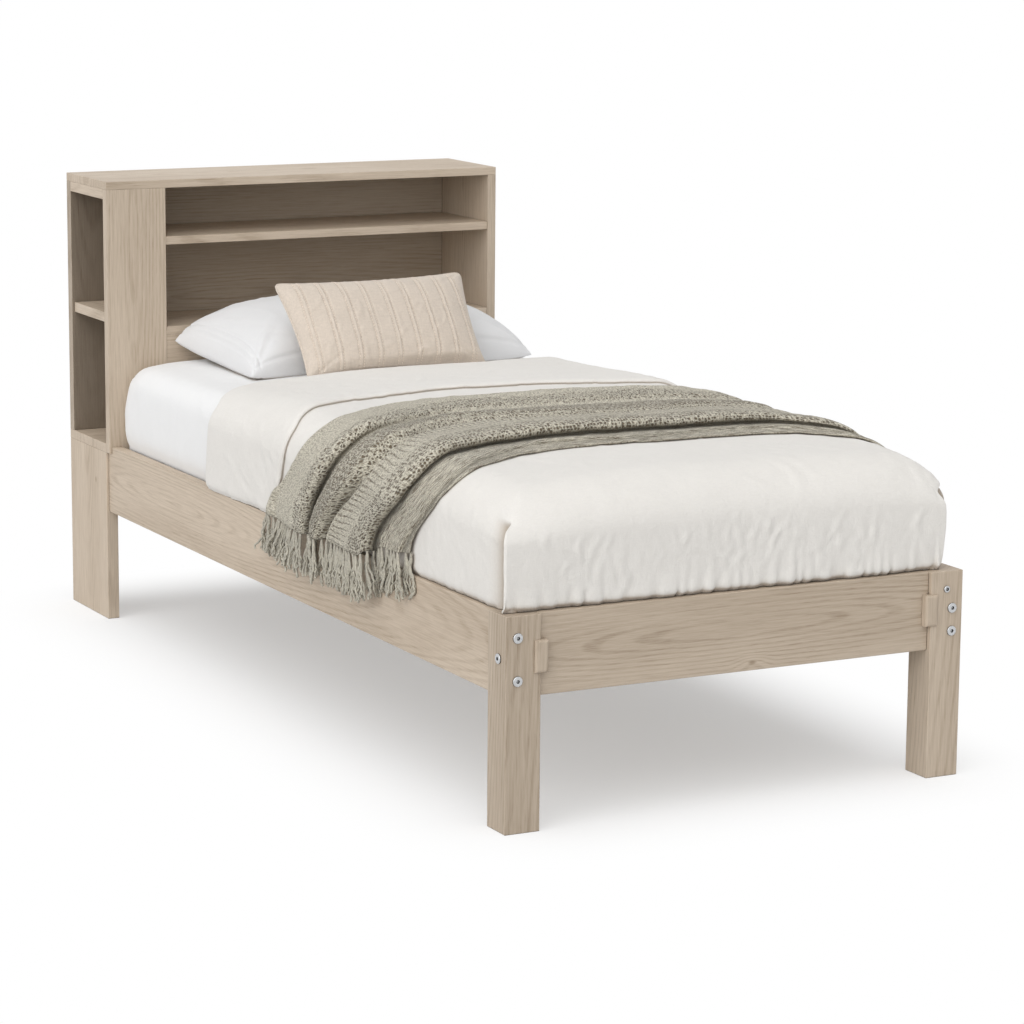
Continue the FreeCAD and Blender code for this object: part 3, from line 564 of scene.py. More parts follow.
class BED_PG_wood(bpy.types.PropertyGroup):
    pale: colour_of("Oak, early wood", "Pale part of the washed oak's grain",
                    (0.620, 0.520, 0.412))
    dark: colour_of("Oak, late wood", "Dark part of the washed oak's grain",
                    (0.335, 0.255, 0.178))
    figure: amount_of("Figure", "How far the growth rings wander on wide boards",
                      22.0, 0, 60)
    softwood: colour_of("Softwood", "Slats, ledgers and blocks", (0.66, 0.50, 0.32))
    zinc: colour_of("Zinc", "Plated bolts, nuts and screws", (0.62, 0.63, 0.64))


class BED_PG_bedding(bpy.types.PropertyGroup):
    sheet: colour_of("Sheet", "Fitted sheet over the mattress", (0.85, 0.85, 0.85))
    pillow: colour_of("Pillowcase", "Pillowcase cotton", (0.75, 0.75, 0.755))
    duvet: colour_of("Duvet", "Duvet cover cotton", (0.79, 0.765, 0.725))
    cushion: colour_of("Cushion", "Cushion cover cotton", (0.67, 0.585, 0.50))
    cuff: amount_of("Turned part",
                    "Height of the duvet's turned-back part, in millimetres",
                    9.0, 0, 30)
    fall: amount_of("Hem fall",
                    "How far the duvet's top sinks towards the head, in millimetres",
                    16.0, 0, 40)
    wrinkles: amount_of("Wrinkles", "Strength of the small wrinkles in the cottons",
                        1.0, 0, 3)
    channels: IntProperty(
        name="Channels", description="Stitched pairs of lines across the cushion",
        min=0, max=30, default=9)


class BED_PG_throw(bpy.types.PropertyGroup):
    yarn: colour_of("Yarn", "Colour of the throw's yarn", (0.75, 0.705, 0.585))
    fold: amount_of("Fold height", "Height of the gathered folds, in millimetres",
                    20.0, 0, 60)
    strands: IntProperty(
        name="Strands", description="Bunches of fringe along one end",
        min=4, max=120, default=44)
    fringe: amount_of("Fringe", "Length of the fringe, in millimetres",
                      83.0, 10, 200)


class BED_PG_stage(bpy.types.PropertyGroup):
    key: amount_of("Overhead light", "Strength of the wide light above", 0.70, 0, 20)
    side: amount_of("Side light", "Strength of the low light at the left", 1.79, 0, 20)
    fill: amount_of("Room light", "Strength of the light from all round", 0.58, 0, 20)


# -------------------------------------------------------------- wood, steel
BOARDS = {
    # piece: (grain runs along, figure, tone, heart of the rings along the board); the back
    # stile's and the partition's low tones are painted shade deep in the bookcase
    "foot_leg_left": ("Z", 0.16, 0.89, 0.9), "foot_leg_right": ("Z", 0.16, 0.96, 1.1),
    "side_rail_left": ("Y", 0.8, 1.0, 0.55), "side_rail_right": ("Y", 0.8, 1.0, 0.3),
    "foot_rail": ("X", 0.9, 0.93, 0.02), "joint_cap_left": ("Z", 0.3, 0.93, 0.5),
    "joint_cap_right": ("Z", 0.3, 0.93, 0.7), "head_leg_left": ("Z", 0.7, 1.03, 0.6),
    "head_leg_right": ("Z", 0.7, 1.0, 0.5), "case_floor": ("X", 0.7, 1.0, 0.8),
    "case_top": ("X", 0.8, 1.0, 0.4), "front_stile": ("Z", 0.8, 1.0, 0.18),
    "back_stile": ("Z", 0.5, 0.74, 0.9), "partition": ("Z", 0.8, 0.72, 0.1),
    "end_panel": ("Z", 0.8, 0.95, 0.2), "upper_shelf": ("X", 0.6, 1.0, 0.7),
    "lower_shelf": ("X", 0.6, 1.0, 0.9), "front_panel": ("X", 0.9, 1.0, 0.1),
    "side_shelf": ("Y", 0.5, 1.0, 0.5), "top_apron": ("Y", 0.5, 1.04, 0.5),
    "back_panel": ("X", 1.0, 0.9, -0.15),
}
# how dark painted shade makes the boards deep in the bookcase
HOLLOW_SHADE = {"back_stile": 0.6, "back_panel": 0.24}
SOFTWOOD = {
    "side_ledger_left": "Y", "side_ledger_right": "Y", "foot_ledger": "X",
    "head_rail": "X", "rear_rail": "X", "head_block_left": "Z",
    "head_block_right": "Z", "dowels": "X",
}
STEEL = ("foot_bolts", "barrel_nuts", "corner_screw", "wood_screws",
         "head_bolts", "head_nuts", "shelf_pins", "back_screws")


def cover(node, finish):
    """Puts a finish on a CAD node."""
    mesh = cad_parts[node].data
    mesh.materials.clear()
    mesh.materials.append(finish)


def dress_wood(settings):
    oak_grain_group()
    # where a board has a knot, in metres in the frame, and the knot's size
    knots = {"head_leg_left": ((-0.4825, 0.935, 0.31), 0.004),
             "foot_rail": ((0.03, -1.0795, 0.262), 0.005)}
    for k, (node, (along, figure, tone, heart)) in enumerate(BOARDS.items()):
        knot, knot_size = knots.get(node, (None, 0.0))
        cover(node, board_finish(
            "washed oak, " + node, node, along, (k * 1.37, k * 0.51, k * 0.83),
            settings.figure * figure, toned(settings.pale, tone),
            toned(settings.dark, tone), heart=heart, knot=knot,
            knot_size=knot_size, hollow_shade=HOLLOW_SHADE.get(node, 0.0)))
    slats = {n: "X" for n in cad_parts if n.startswith("slat_")}
    for k, (node, along) in enumerate(sorted({**SOFTWOOD, **slats}.items())):
        cover(node, board_finish(
            "planed softwood, " + node, node, along, (k * 1.3, k * 0.7, k * 0.4),
            settings.figure * 0.9, settings.softwood,
            toned(settings.softwood, 0.66), edge_paling=0.05,
            heart=0.4 * math.sin(k * 2.3)))


def dress_steel(settings):
    finish = zinc_finish(settings)
    for node in STEEL:
        cover(node, finish)


# ------------------------------------------------------------------ bedding
MATTRESS = dict(x=(32.5, 932.5), y=(36.0, 1934.0), z=(377.4, 582.3))
MATTRESS_ARCH, MATTRESS_HALF = 8.0, 450.0
DUVET = dict(x=(10.0, 955.0), y=(17.0, 1392.0), z=(397.6, 615.0))
DUVET_ARCH, DUVET_HALF = 9.0, 420.0
DUVET_RADIUS = np.array([84.0, 95.0, 84.0])
CUFF_START = 1000.0


def mattress_top(x):
    """Height of the mattress's arched top."""
    return 582.5 + MATTRESS_ARCH * crown(x, MATTRESS_HALF)


def around(points, low_x, high_x, top):
    """Distance across the bed over its top, negative down the left side."""
    down = top - points[:, 2]
    left = points[:, 0] - low_x < 1e-6
    right = high_x - points[:, 0] < 1e-6
    return np.where(left, -down, np.where(right, high_x - low_x + down,
                                          points[:, 0] - low_x))


def make_mattress(settings):
    """Mattress in its fitted sheet: soft borders and light drag lines."""
    (x0, x1), (y0, y1), (z0, z1) = (MATTRESS[k] for k in "xyz")
    points, faces = block_lattice(
        np.linspace(x0, x1, 76), np.linspace(y0, y1, 150),
        np.linspace(z0, z1, 18),
        ("left", "right", "foot", "head", "bottom", "top"))
    block_z = points[:, 2]
    share = step_up(block_z, z0 + 60, z0 + 150)[:, None]
    radius = share * [[48.0, 36.0, 50.0]] + (1 - share) * [[48.0, 36.0, 20.0]]
    shape = rounded(points, (x0, y0, z0), (x1, y1, z1), radius, 2.4)
    x, y, z = shape.T
    n = normals(shape, faces)
    on_top = block_z >= z1 - 1e-6
    z += MATTRESS_ARCH * np.clip(crown(x, MATTRESS_HALF), 0, 1) * on_top
    # swollen borders, light drag lines and a line where the rails press
    side = np.abs(n[:, 2]) < 0.5
    swell = 4.5 * step_up(z, 398, 440) * step_up(z, 590, 480)
    rough = unevenness(shape, 210.0, 3) * 1.8 + unevenness(shape, 60.0, 4) * 0.5
    drag = creases(y, z + x * 0.4, 11, 60, (1380, 1940), (380, 760), 70, 9, 1.3,
                   direction=1.1, spread=1.2)
    lift = np.where(side, swell, 0)
    lift += (rough + drag * settings.wrinkles) * step_up(z, 396, 425)
    lift -= 3.5 * side * bell(z - 400, 9.0)
    # the sheet is drawn down to its corners at the head
    corner = np.minimum(np.abs(x - x0), np.abs(x - x1))
    back = np.maximum(y1 - y, 0)
    lift -= (13.0 * bell(corner, 70.0) * bell(back, 60.0)
             * step_up(block_z, z1 - 110, z1 - 10))
    shape += n * (lift * (n[:, 2] > -0.5))[:, None]
    y[:] = np.minimum(y, y1)
    finish = cotton_finish("white sheet cotton", settings.sheet,
                           toned(settings.sheet, 0.94))
    piece = mesh_piece("mattress_sheeted", shape, faces, finish)
    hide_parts("mattress")
    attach(piece, "root")


# Lines over the duvet, of its hem and of its turned part's edge: the distance
# across from the left side's top, and the place along the bed.
HEM = ([-220, -200, -95, -30, 84, 129, 248, 691, 832, 945, 1160],
       [1388, 1388, 1374, 1366, 1409, 1434, 1442, 1485, 1522, 1522, 1505])
CUFF = ([-220, -200, -140, -55, -15, 50, 150, 380, 607, 825, 935, 1160],
        [1006, 1004, 994, 963, 961, 985, 1023, 1061, 1048, 1010, 1000, 1000])


def duvet_line(line, across):
    """A line over the duvet, eased where it turns."""
    s = np.linspace(-230, 1180, 600)
    y = softened(np.interp(s, *line), 60, 0)
    return np.interp(across, s, y)


# The folded corners at the foot, seen from above: the place along the side
# panel, how far in from the bedding's side the cloth runs there, and its place
# along the bed. The foot panel's edge comes first, then the crease behind it
# and the side's roll.
FOLD_AT = np.array([17, 18, 19.5, 21, 22.5, 24, 26, 29, 33, 38, 44, 52, 62, 76, 90.0])
FOLD_IN = {1: np.array([-3.5, -4.8, -5, -3, 4, 14, 22, 22, 17, 12.5, 9, 6, 3.2, 1, 0]),
           -1: np.array([28, 26.8, 26.6, 28.5, 34, 42, 45, 38, 25, 14, 7, 2, 0, 0, 0.0])}
FOLD_Y = np.array([17.6, 19, 21, 23, 24, 24.5, 27, 30.5, 33.5, 38, 44, 52, 62.5, 77, 91.5])
# How far up the foot's corners are folded, and how wide the foot panel's edge is.
CORNER_TOP = 592.0
CORNER_WIDE = 60.0


def duvet_block():
    """Points and quads of the duvet's plain block, open below and at the head."""
    (x0, x1), (_y0, y1), (z0, z1) = (DUVET[k] for k in "xyz")
    ys = np.concatenate([
        FOLD_AT[:-1], np.linspace(90, CUFF_START - 14, 101),
        CUFF_START + np.array([-7, -2.5, -0.6, 0.6, 2.2, 4.5, 8, 14]),
        np.linspace(CUFF_START + 22, y1 - 30, 40),
        y1 - np.array([24, 18, 13, 9, 6, 3, 1, 0])])
    near = np.array([0, 1.5, 3.5, 6, 9, 13, 18])
    xs = np.concatenate([x0 + near, np.linspace(x0 + 24, x1 - 24, 170),
                         x1 - near[::-1]])
    zs = np.concatenate([z0 + np.array([0, 2.5, 5, 8, 12, 16, 21]),
                         np.linspace(z0 + 27, z1, 34)])
    return block_lattice(xs, ys, zs, ("left", "right", "foot", "top"))


def duvet_wrinkles(shape, n, above, strength):
    """Unevenness, wrinkles and gathers of the duvet's cover, as heights."""
    x, y, z = shape.T
    on_top = step_up(n[:, 2], 0.2, 0.9)
    foot = step_up(-n[:, 1], 0.3, 0.9)
    sides = (1 - foot) * (1 - on_top)
    away = step_up(y, 30, 70)
    high = np.maximum(above, 0)
    small = creases(x, y, 21, 150, (0, 965), (20, 1480), 75, 10, 1.3) * on_top
    small += creases(y, z, 22, 150, (20, 1480), (390, 620), 45, 8, 1.5,
                     1.2, 1.6) * (1 - on_top) * away
    small += creases(x, z, 23, 90, (60, 900), (415, 520), 26, 7, 2.2,
                     1.7, 1.5) * step_up(-n[:, 1], 0.2, 0.7)
    # gathers where the cover is pushed down behind the foot rail
    line = x + 0.22 * above * uneven_over(x, 0, 0, 130.0, 25, 1)
    puff = np.abs(uneven_over(line, 0.16 * above, 0, 19.0, 26, 1)) ** 0.7 - 0.32
    tall = 30 + 26 * uneven_over(line, 0, 0, 45.0, 27, 1)
    small += foot * 12.0 * puff * bell(high, tall, 1.5)
    # gathers along the side rails
    puff = np.abs(uneven_over(y + 0.3 * above, 0.2 * above, 0, 30.0, 28, 1))
    small += sides * away * 5.0 * (puff ** 0.8 - 0.3) * bell(high, 34.0, 1.6)
    lift = unevenness(shape, 300.0, 7) * 3.6 + unevenness(shape, 95.0, 8) * 1.3
    lift += small * strength
    # tucked in along the rails
    lift -= foot * 3.0 * bell(above, 5.0)
    lift -= 6.0 * bell(above, 7.0) * (1 - np.clip(n[:, 2], 0, 1))
    lift -= sides * 9.0 * bell(above, 13.0) * step_up(y, 105, 50)
    return lift


def fold_corners(points, shape, above, lift):
    """Runs the sides' cloth in behind the foot panel and marks where painted shade darkens its
    tucks.
    """
    (x0, x1), (y0, _y1), (_z0, z1) = (DUVET[k] for k in "xyz")
    block_x, block_y, block_z = points.T
    base, tuck_shade_mark = shape.copy(), np.zeros(len(shape))
    rise = np.clip((block_z - z1) / DUVET_RADIUS[2] + 1, 0, 1)
    curl = 1 - 1 / np.sqrt(1 + rise ** 2)
    wave = 1.6 * uneven_over(0, 0, block_z, 26.0, 29)
    tuck = 7.0 * bell(above, 7.0)
    gap = 9.0 * step_up(block_z, 436, 398)
    shut = step_up(block_z, CORNER_TOP + 6, CORNER_TOP - 22)
    held = shut * step_up(block_y, 92, 56)
    # painted shade: how dark the side's cloth turns as it runs in behind the foot panel
    tuck_shade_share = shut * np.interp(
        block_y, [22, 25, 42, 50, 60, 76, 90], [0, 0.95, 0.8, 0.5, 0.22, 0.06, 0])
    deep = np.interp(block_y, [17, 24, 33, 60, 90], [0, 0, 1, 0.25, 0])
    bowed = 6.0 * np.sin(np.clip((block_z - 400) / 185.0, 0, 1) * math.pi)

    def draw(where, target, share):
        """Draws cloth towards a target, across and along the bed."""
        for axis in (0, 1):
            own = base[:, axis]
            shape[:, axis] = np.where(where, own + (target[axis] - own) * share,
                                      shape[:, axis])

    for at, side in ((x0, 1), (x1, -1)):
        inward = FOLD_IN[side]
        bow = bowed * (block_y < 31) * (side < 0)
        on_side = (np.abs(block_x - at) < 1e-6) & (block_y <= 90)
        tuck_shade_mark = np.maximum(tuck_shade_mark, on_side * tuck_shade_share)
        run_in = (np.interp(block_y, FOLD_AT, inward) + wave * (block_y < 25)
                  + (gap + tuck) * deep + DUVET_RADIUS[0] * curl - bow)
        behind = (np.interp(block_y, FOLD_AT, FOLD_Y) + gap * deep * 0.5
                  + tuck * (block_y < 24) + DUVET_RADIUS[1] * curl)
        draw(on_side, (at + side * run_in, behind), held)
        # the foot panel stays flat out to its edge
        away_in = (block_x - at) * side
        front = (block_y <= y0 + 1e-6) & (away_in < CORNER_WIDE) & ~on_side
        edge_in = inward[0] + wave - bow
        out = edge_in + away_in * (CORNER_WIDE - edge_in) / CORNER_WIDE
        draw(front, (at + side * (out + (DUVET_RADIUS[0] - away_in) * curl),
                     y0 + 0.6 - lift * (1 - curl) + DUVET_RADIUS[1] * curl),
             step_up(away_in, CORNER_WIDE, 12) * shut)
    return tuck_shade_mark


def make_duvet(settings):
    """Duvet with its turned-back part, folded foot corners and gathers."""
    (x0, x1), (y0, y1), (z0, z1) = (DUVET[k] for k in "xyz")
    points, faces = duvet_block()
    block_y = points[:, 1]
    shape = rounded(points, (x0, y0, z0 - 500), (x1, y1 + 500, z1),
                    DUVET_RADIUS, 7.0)
    x, y, z = shape.T
    n = normals(shape, faces)
    # the lines of the hem and of the turned part's edge
    across = around(points, x0, x1, z1)
    cuff_y, hem_y = duvet_line(CUFF, across), duvet_line(HEM, across)
    past = block_y - CUFF_START
    y[:] = np.where(
        past <= 0, y + (cuff_y - CUFF_START) * step_up(block_y, 200, CUFF_START),
        cuff_y + past * (hem_y - cuff_y) / (y1 - CUFF_START))
    # crown, puffed foot end, corners drawn down and thin head-side edge
    middle = np.clip(crown(x, DUVET_HALF), 0, 1)
    up = np.clip(n[:, 2], 0, 1)
    z += DUVET_ARCH * middle * up * step_up(y, 40, 240)
    z += 6.0 * up * middle * bell(y - 120, 70.0)
    corner = np.minimum(x - x0, x1 - x)
    z -= (30.0 * bell(corner, 105.0, 1.5) * bell(np.maximum(y - 20, 0), 120.0, 1.5)
          * step_up(z, 480, 590))
    z -= settings.fall * up * step_up(block_y, CUFF_START + 10, y1 - 20)
    lift = 3.0 * np.sin(math.pi * np.clip((z - z0) / (z1 - z0), 0, 1)) * (1 - up)
    # turned part and its edge, and the rounded fold at the head side
    lip = [-8, -7, -2.5, -0.6, 0.6, 2.2, 4.5, 8, 14, 22]
    lift += settings.cuff / 9 * np.interp(
        past, lip, [0, 0, 0, 0.3, 1.6, 2.6, 5.6, 8.9, 9.9, 9])
    y += np.interp(past, lip, [0, 0, 1, 2.2, 0.4, -3.2, -5.5, -5.5, -3, 0])
    last = np.clip((block_y - (y1 - 30)) / 30.0, 0, 1)
    lift -= (8.0 + settings.cuff) * (1 - np.sqrt(np.clip(1 - last ** 2, 0, 1)))
    above = z - z0
    lift += duvet_wrinkles(shape, n, above, settings.wrinkles)
    shape += n * lift[:, None]
    tuck_shade_mark = fold_corners(points, shape, above, lift)
    finish = cotton_finish("cream duvet cotton", settings.duvet,
                           toned(settings.duvet, 0.93), thread=1.2,
                           slub=0.4, depth=0.0011, shade_in_tucks=(0.028, 0.8, 0.22))
    piece = mesh_piece("duvet_cover", shape, faces, finish)
    # the mark of painted shade in the folded corners
    mark = piece.data.attributes.new("tuck_shade_mark", "FLOAT", "POINT")
    mark.data.foreach_set("value", tuck_shade_mark.astype(np.float32))
    thicken(piece, 0.0025)
    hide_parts("duvet")
    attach(piece, "root")


def stuffed_sheets(w, d, rise, sink, pull, columns, rows, power=2.4,
                   corner=0.9, round_off=0.0):
    """Front and back of a stuffed cover, joined at its seam, lying flat."""
    u, v = np.meshgrid(np.linspace(-1, 1, columns), np.linspace(-1, 1, rows),
                       indexing="ij")
    u, v = np.sin(u * 1.45) / math.sin(1.45), np.sin(v * 1.45) / math.sin(1.45)
    x = w / 2 * u - pull * u * (1 - v ** 2) * np.abs(u) ** 1.5
    y = d / 2 * v - pull * v * (1 - u ** 2) * np.abs(v) ** 1.5
    if round_off:
        most = np.maximum(np.abs(u), np.abs(v))
        whole = (np.abs(u) ** round_off + np.abs(v) ** round_off) ** (1 / round_off)
        ease = np.where(whole > 0, most / np.maximum(whole, 1e-9), 1.0)
        x, y = x * ease, y * ease
    full = np.clip((1 - np.abs(u) ** power) * (1 - np.abs(v) ** power), 0, 1)
    z = full ** (0.5 * corner)
    front = np.stack([x, y, z * rise], -1)
    back = np.stack([x, y, -z * sink], -1)
    inner = np.zeros((columns, rows), bool)
    inner[1:-1, 1:-1] = True
    index = np.arange(columns * rows).reshape(columns, rows)
    under = index.copy()
    under[inner] = columns * rows + np.arange(inner.sum())
    points = np.concatenate([front.reshape(-1, 3), back[inner]])
    sheet = np.concatenate([np.stack([u, v], -1).reshape(-1, 2),
                            np.stack([u, v], -1)[inner]])
    faces = []
    for ids, flip in ((index, False), (under, True)):
        a, b = ids[:-1, :-1].ravel(), ids[1:, :-1].ravel()
        c, e = ids[1:, 1:].ravel(), ids[:-1, 1:].ravel()
        quads = np.stack([a, b, c, e], 1)
        faces += (quads[:, ::-1] if flip else quads).tolist()
    rim = np.concatenate([index[:, 0], index[-1, 1:], index[-2::-1, -1],
                          index[0, -2:0:-1]])
    return points, faces, sheet, rim


def turned(points, pitch, yaw, place):
    """Tilts a piece back, turns it and sets it down."""
    spin = (Matrix.Rotation(math.radians(yaw), 3, "Z")
            @ Matrix.Rotation(math.radians(pitch), 3, "X"))
    return points @ np.array(spin).T + np.array(place)


def make_pillow(settings):
    """Pillow that lies on the mattress against the bookcase."""
    w, d = 709.0, 389.0
    points, faces, sheet, _rim = stuffed_sheets(w, d, 119, 50, 14, 150, 90, 3.1)
    n = normals(points, faces)
    u, v = sheet[:, 0] * w / 2, sheet[:, 1] * d / 2
    edge = 1 - np.clip(np.maximum(np.abs(sheet[:, 0]) ** 6,
                                  np.abs(sheet[:, 1]) ** 6), 0, 1)
    lift = unevenness(points, 150.0, 31) * 4 * edge
    lift += unevenness(points, 48.0, 32) * 1.0 * edge
    # long creases that run in from the corners
    rng = np.random.default_rng(9)
    for cu in (-w / 2, w / 2):
        for cv in (-d / 2, d / 2):
            for _ in range(9):
                aim = math.atan2(-cv, -cu) + rng.uniform(-0.62, 0.62)
                long = rng.uniform(60, 150)
                along = (u - cu) * math.cos(aim) + (v - cv) * math.sin(aim)
                off = (v - cv) * math.cos(aim) - (u - cu) * math.sin(aim)
                lift += (rng.uniform(0.8, 2.6) * settings.wrinkles * edge
                         * step_up(along, 10, 35) * bell(along, long)
                         * ridge(off / (5 + 0.06 * np.abs(along))))
    lift += creases(u, v, 33, 40, (-350, 350), (-195, 195), 60, 10,
                    1.6 * settings.wrinkles) * edge
    points = points + n * lift[:, None]
    # the hem seams of the case: one round it, a second at its open end
    for value, half, inset in ((np.abs(u), w / 2, 9), (np.abs(v), d / 2, 9),
                               (-u, w / 2, 23)):
        seam = bell(value - half + inset, 2.0)
        points -= n * (seam * 3.4 * np.minimum(edge * 4, 1))[:, None]
    shape = turned(points, 4.9, 4.4, (522.7, 1773.9, 613.6))
    x, y, z = shape.T
    # it sinks a little into the mattress and is held back by the bookcase
    bed = mattress_top(x)
    z[:] = np.where(z < bed, bed + (z - bed) * 0.03, z)
    limit, give = 1880.0, 50.0
    past = np.maximum(y - limit, 0)
    y[:] = np.where(past > 0, limit + give * np.tanh(past / give), y)
    finish = cotton_finish("white pillow cotton", settings.pillow,
                           toned(settings.pillow, 0.94))
    piece = mesh_piece("pillow_cased", shape, faces, finish)
    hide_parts("pillow")
    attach(piece, "root")


def path_piece(name, lines, closed=False):
    """Lines through bed measures, as one curve object of several splines."""
    curve = bpy.data.curves.new(name, "CURVE")
    curve.dimensions = "3D"
    for line in lines:
        spline = curve.splines.new("POLY")
        spline.points.add(len(line) - 1)
        flat = np.ones((len(line), 4), np.float32)
        flat[:, :3] = (np.asarray(line) - ORIGIN) / 1000.0
        spline.points.foreach_set("co", flat.ravel())
        spline.use_cyclic_u = closed
    piece = bpy.data.objects.new(name, curve)
    bpy.context.scene.collection.objects.link(piece)
    return piece


def tree_with(name, inputs):
    """A Geometry Nodes tree; each input has a name, a kind and a value."""
    tree = bpy.data.node_groups.new(name, "GeometryNodeTree")
    for label, kind, value in (("Geometry", "Geometry", None), *inputs,
                               ("Material", "Material", None)):
        made = tree.interface.new_socket(label, in_out="INPUT",
                                         socket_type="NodeSocket" + kind)
        if value is not None:
            made.default_value = value
    tree.interface.new_socket("Geometry", in_out="OUTPUT",
                              socket_type="NodeSocketGeometry")
    return tree, Value(tree.nodes.new("NodeGroupInput"))


def close_tree(geometry, material):
    """Ends a tree with real geometry in its material."""
    tree = geometry.tree
    real = put(tree, "GeometryNodeRealizeInstances", {0: geometry})
    smooth = put(tree, "GeometryNodeSetShadeSmooth", {0: real})
    done = put(tree, "GeometryNodeSetMaterial",
               {"Geometry": smooth, "Material": material})
    put(tree, "NodeGroupOutput", {0: done})
    return tree


def tube_along(line, radius, sides, caps=False):
    """A round tube along lines."""
    ring = put(line.tree, "GeometryNodeCurvePrimitiveCircle",
               {"Resolution": sides, "Radius": radius})
    return put(line.tree, "GeometryNodeCurveToMesh",
               {"Curve": line, "Profile Curve": ring, "Fill Caps": caps})


def follow(piece, tree, values, name):
    """Runs a tree on a piece's lines and returns the plain mesh."""
    node = piece.modifiers.new("shape", "NODES")
    node.node_group = tree
    sockets = {s.name: s.identifier for s in tree.interface.items_tree
               if s.item_type == "SOCKET" and s.in_out == "INPUT"}
    for label, value in values.items():
        node[sockets[label]] = value
    return plain_mesh(piece, name)


def cord_tree():
    """Round piping cord along a line."""
    tree, given = tree_with("piping cord", (("Cord Radius", "Float", 0.0022),
                                            ("Step", "Float", 0.006)))
    even = put(tree, "GeometryNodeResampleCurve",
               {"Curve": given["Geometry"], "Length": given["Step"]},
               mode="LENGTH")
    return close_tree(tube_along(even, given["Cord Radius"], 8), given["Material"])


def stitch_tree():
    """Short raised stitches, one after another along lines."""
    tree, given = tree_with("stitch rows", (("Stitch Pitch", "Float", 0.0062),
                                            ("Stitch Length", "Float", 0.0038),
                                            ("Thread Radius", "Float", 0.0012)))
    spots = put(tree, "GeometryNodeCurveToPoints",
                {"Curve": given["Geometry"], "Length": given["Stitch Pitch"]},
                mode="LENGTH")
    bead = put(tree, "GeometryNodeMeshUVSphere",
               {"Segments": 6, "Rings": 4, "Radius": 1.0})
    size = put(tree, "ShaderNodeCombineXYZ",
               {0: given["Thread Radius"], 1: given["Thread Radius"],
                2: given["Stitch Length"] / 2.0})
    along = put(tree, "FunctionNodeAlignRotationToVector",
                {"Vector": spots["Tangent"]}, axis="Z")
    rows = put(tree, "GeometryNodeInstanceOnPoints",
               {"Points": spots["Points"], "Instance": bead,
                "Rotation": along, "Scale": size})
    return close_tree(rows, given["Material"])


def fringe_tree():
    """Hanging bunches of wavy yarn, spaced along a hem line."""
    tree, given = tree_with("fringe", (
        ("Strands", "Int", 44), ("Length", "Float", 0.083),
        ("Yarn Radius", "Float", 0.0023), ("Wave", "Float", 0.0105),
        ("Seed", "Int", 4)))
    roots = put(tree, "GeometryNodeCurveToPoints",
                {"Curve": given["Geometry"], "Count": given["Strands"]},
                mode="COUNT")["Points"]
    yarn = put(tree, "GeometryNodeCurvePrimitiveLine",
               {"Start": (0, 0, 0.002), "End": (0, 0, -1)}, mode="POINTS")
    yarn = put(tree, "GeometryNodeResampleCurve", {"Curve": yarn, "Count": 19},
               mode="COUNT")
    number = put(tree, "GeometryNodeInputIndex")
    # the head-side bunches swing further towards the head
    swing = put(tree, "ShaderNodeCombineXYZ", {0: ramp(number, 0.0, 24.0, 0.36, 0.0)})
    joined = tree.nodes.new("GeometryNodeJoinGeometry")
    for k in range(5):
        seed = given["Seed"] + 10.0 * k
        reach = put(tree, "FunctionNodeRandomValue",
                    {2: 0.86, 3: 1.12, "ID": number, "Seed": seed},
                    data_type="FLOAT")[1]
        size = put(tree, "ShaderNodeCombineXYZ",
                   {0: 1.0, 1: 1.0, 2: reach * given["Length"]})
        tilt = put(tree, "FunctionNodeRandomValue",
                   {0: (-0.27, -0.04, -0.2), 1: (0.30, 0.03, 0.2),
                    "ID": number, "Seed": seed + 3.0}, data_type="FLOAT_VECTOR")
        yarns = put(tree, "GeometryNodeInstanceOnPoints",
                    {"Points": roots, "Instance": yarn,
                     "Rotation": tilt.vector("ADD", swing), "Scale": size})
        for label, value in (("bunch", number), ("ply", 37.0 * (k + 1))):
            yarns = put(tree, "GeometryNodeStoreNamedAttribute",
                        {"Geometry": yarns, "Name": label, "Value": value},
                        data_type="FLOAT", domain="INSTANCE")
        feed(joined, {0: yarns})
    real = put(tree, "GeometryNodeRealizeInstances", {0: Value(joined)})
    bunch, ply = (put(tree, "GeometryNodeInputNamedAttribute", {"Name": label},
                      data_type="FLOAT") for label in ("bunch", "ply"))
    down = put(tree, "GeometryNodeSplineParameter")["Factor"]
    loose = ramp(down, 0.0, 0.7, 0.2, 1.0)

    def sway(number, pitch, seed, amount):
        place = put(tree, "ShaderNodeCombineXYZ",
                    {0: down * pitch, 1: number * 7.31 + seed, 2: 0.0})
        drift = put(tree, "ShaderNodeTexNoise",
                    {"Vector": place, "Scale": 1.0, "Detail": 1.0})["Color"]
        flat = drift.vector("SUBTRACT", (0.5, 0.5, 0.5)).vector(
            "MULTIPLY", (0.2, 1.0, 0.0))
        return put(tree, "ShaderNodeVectorMath",
                   {0: flat, "Scale": amount * loose}, operation="SCALE")

    together = sway(bunch, 2.2, 3.0, given["Wave"] * 5.0)
    apart = sway(bunch + ply, 8.0, 9.0, given["Wave"] * 2.6)
    waved = put(tree, "GeometryNodeSetPosition",
                {"Geometry": real, "Offset": together.vector("ADD", apart)})
    return close_tree(tube_along(waved, given["Yarn Radius"], 5, True),
                      given["Material"])


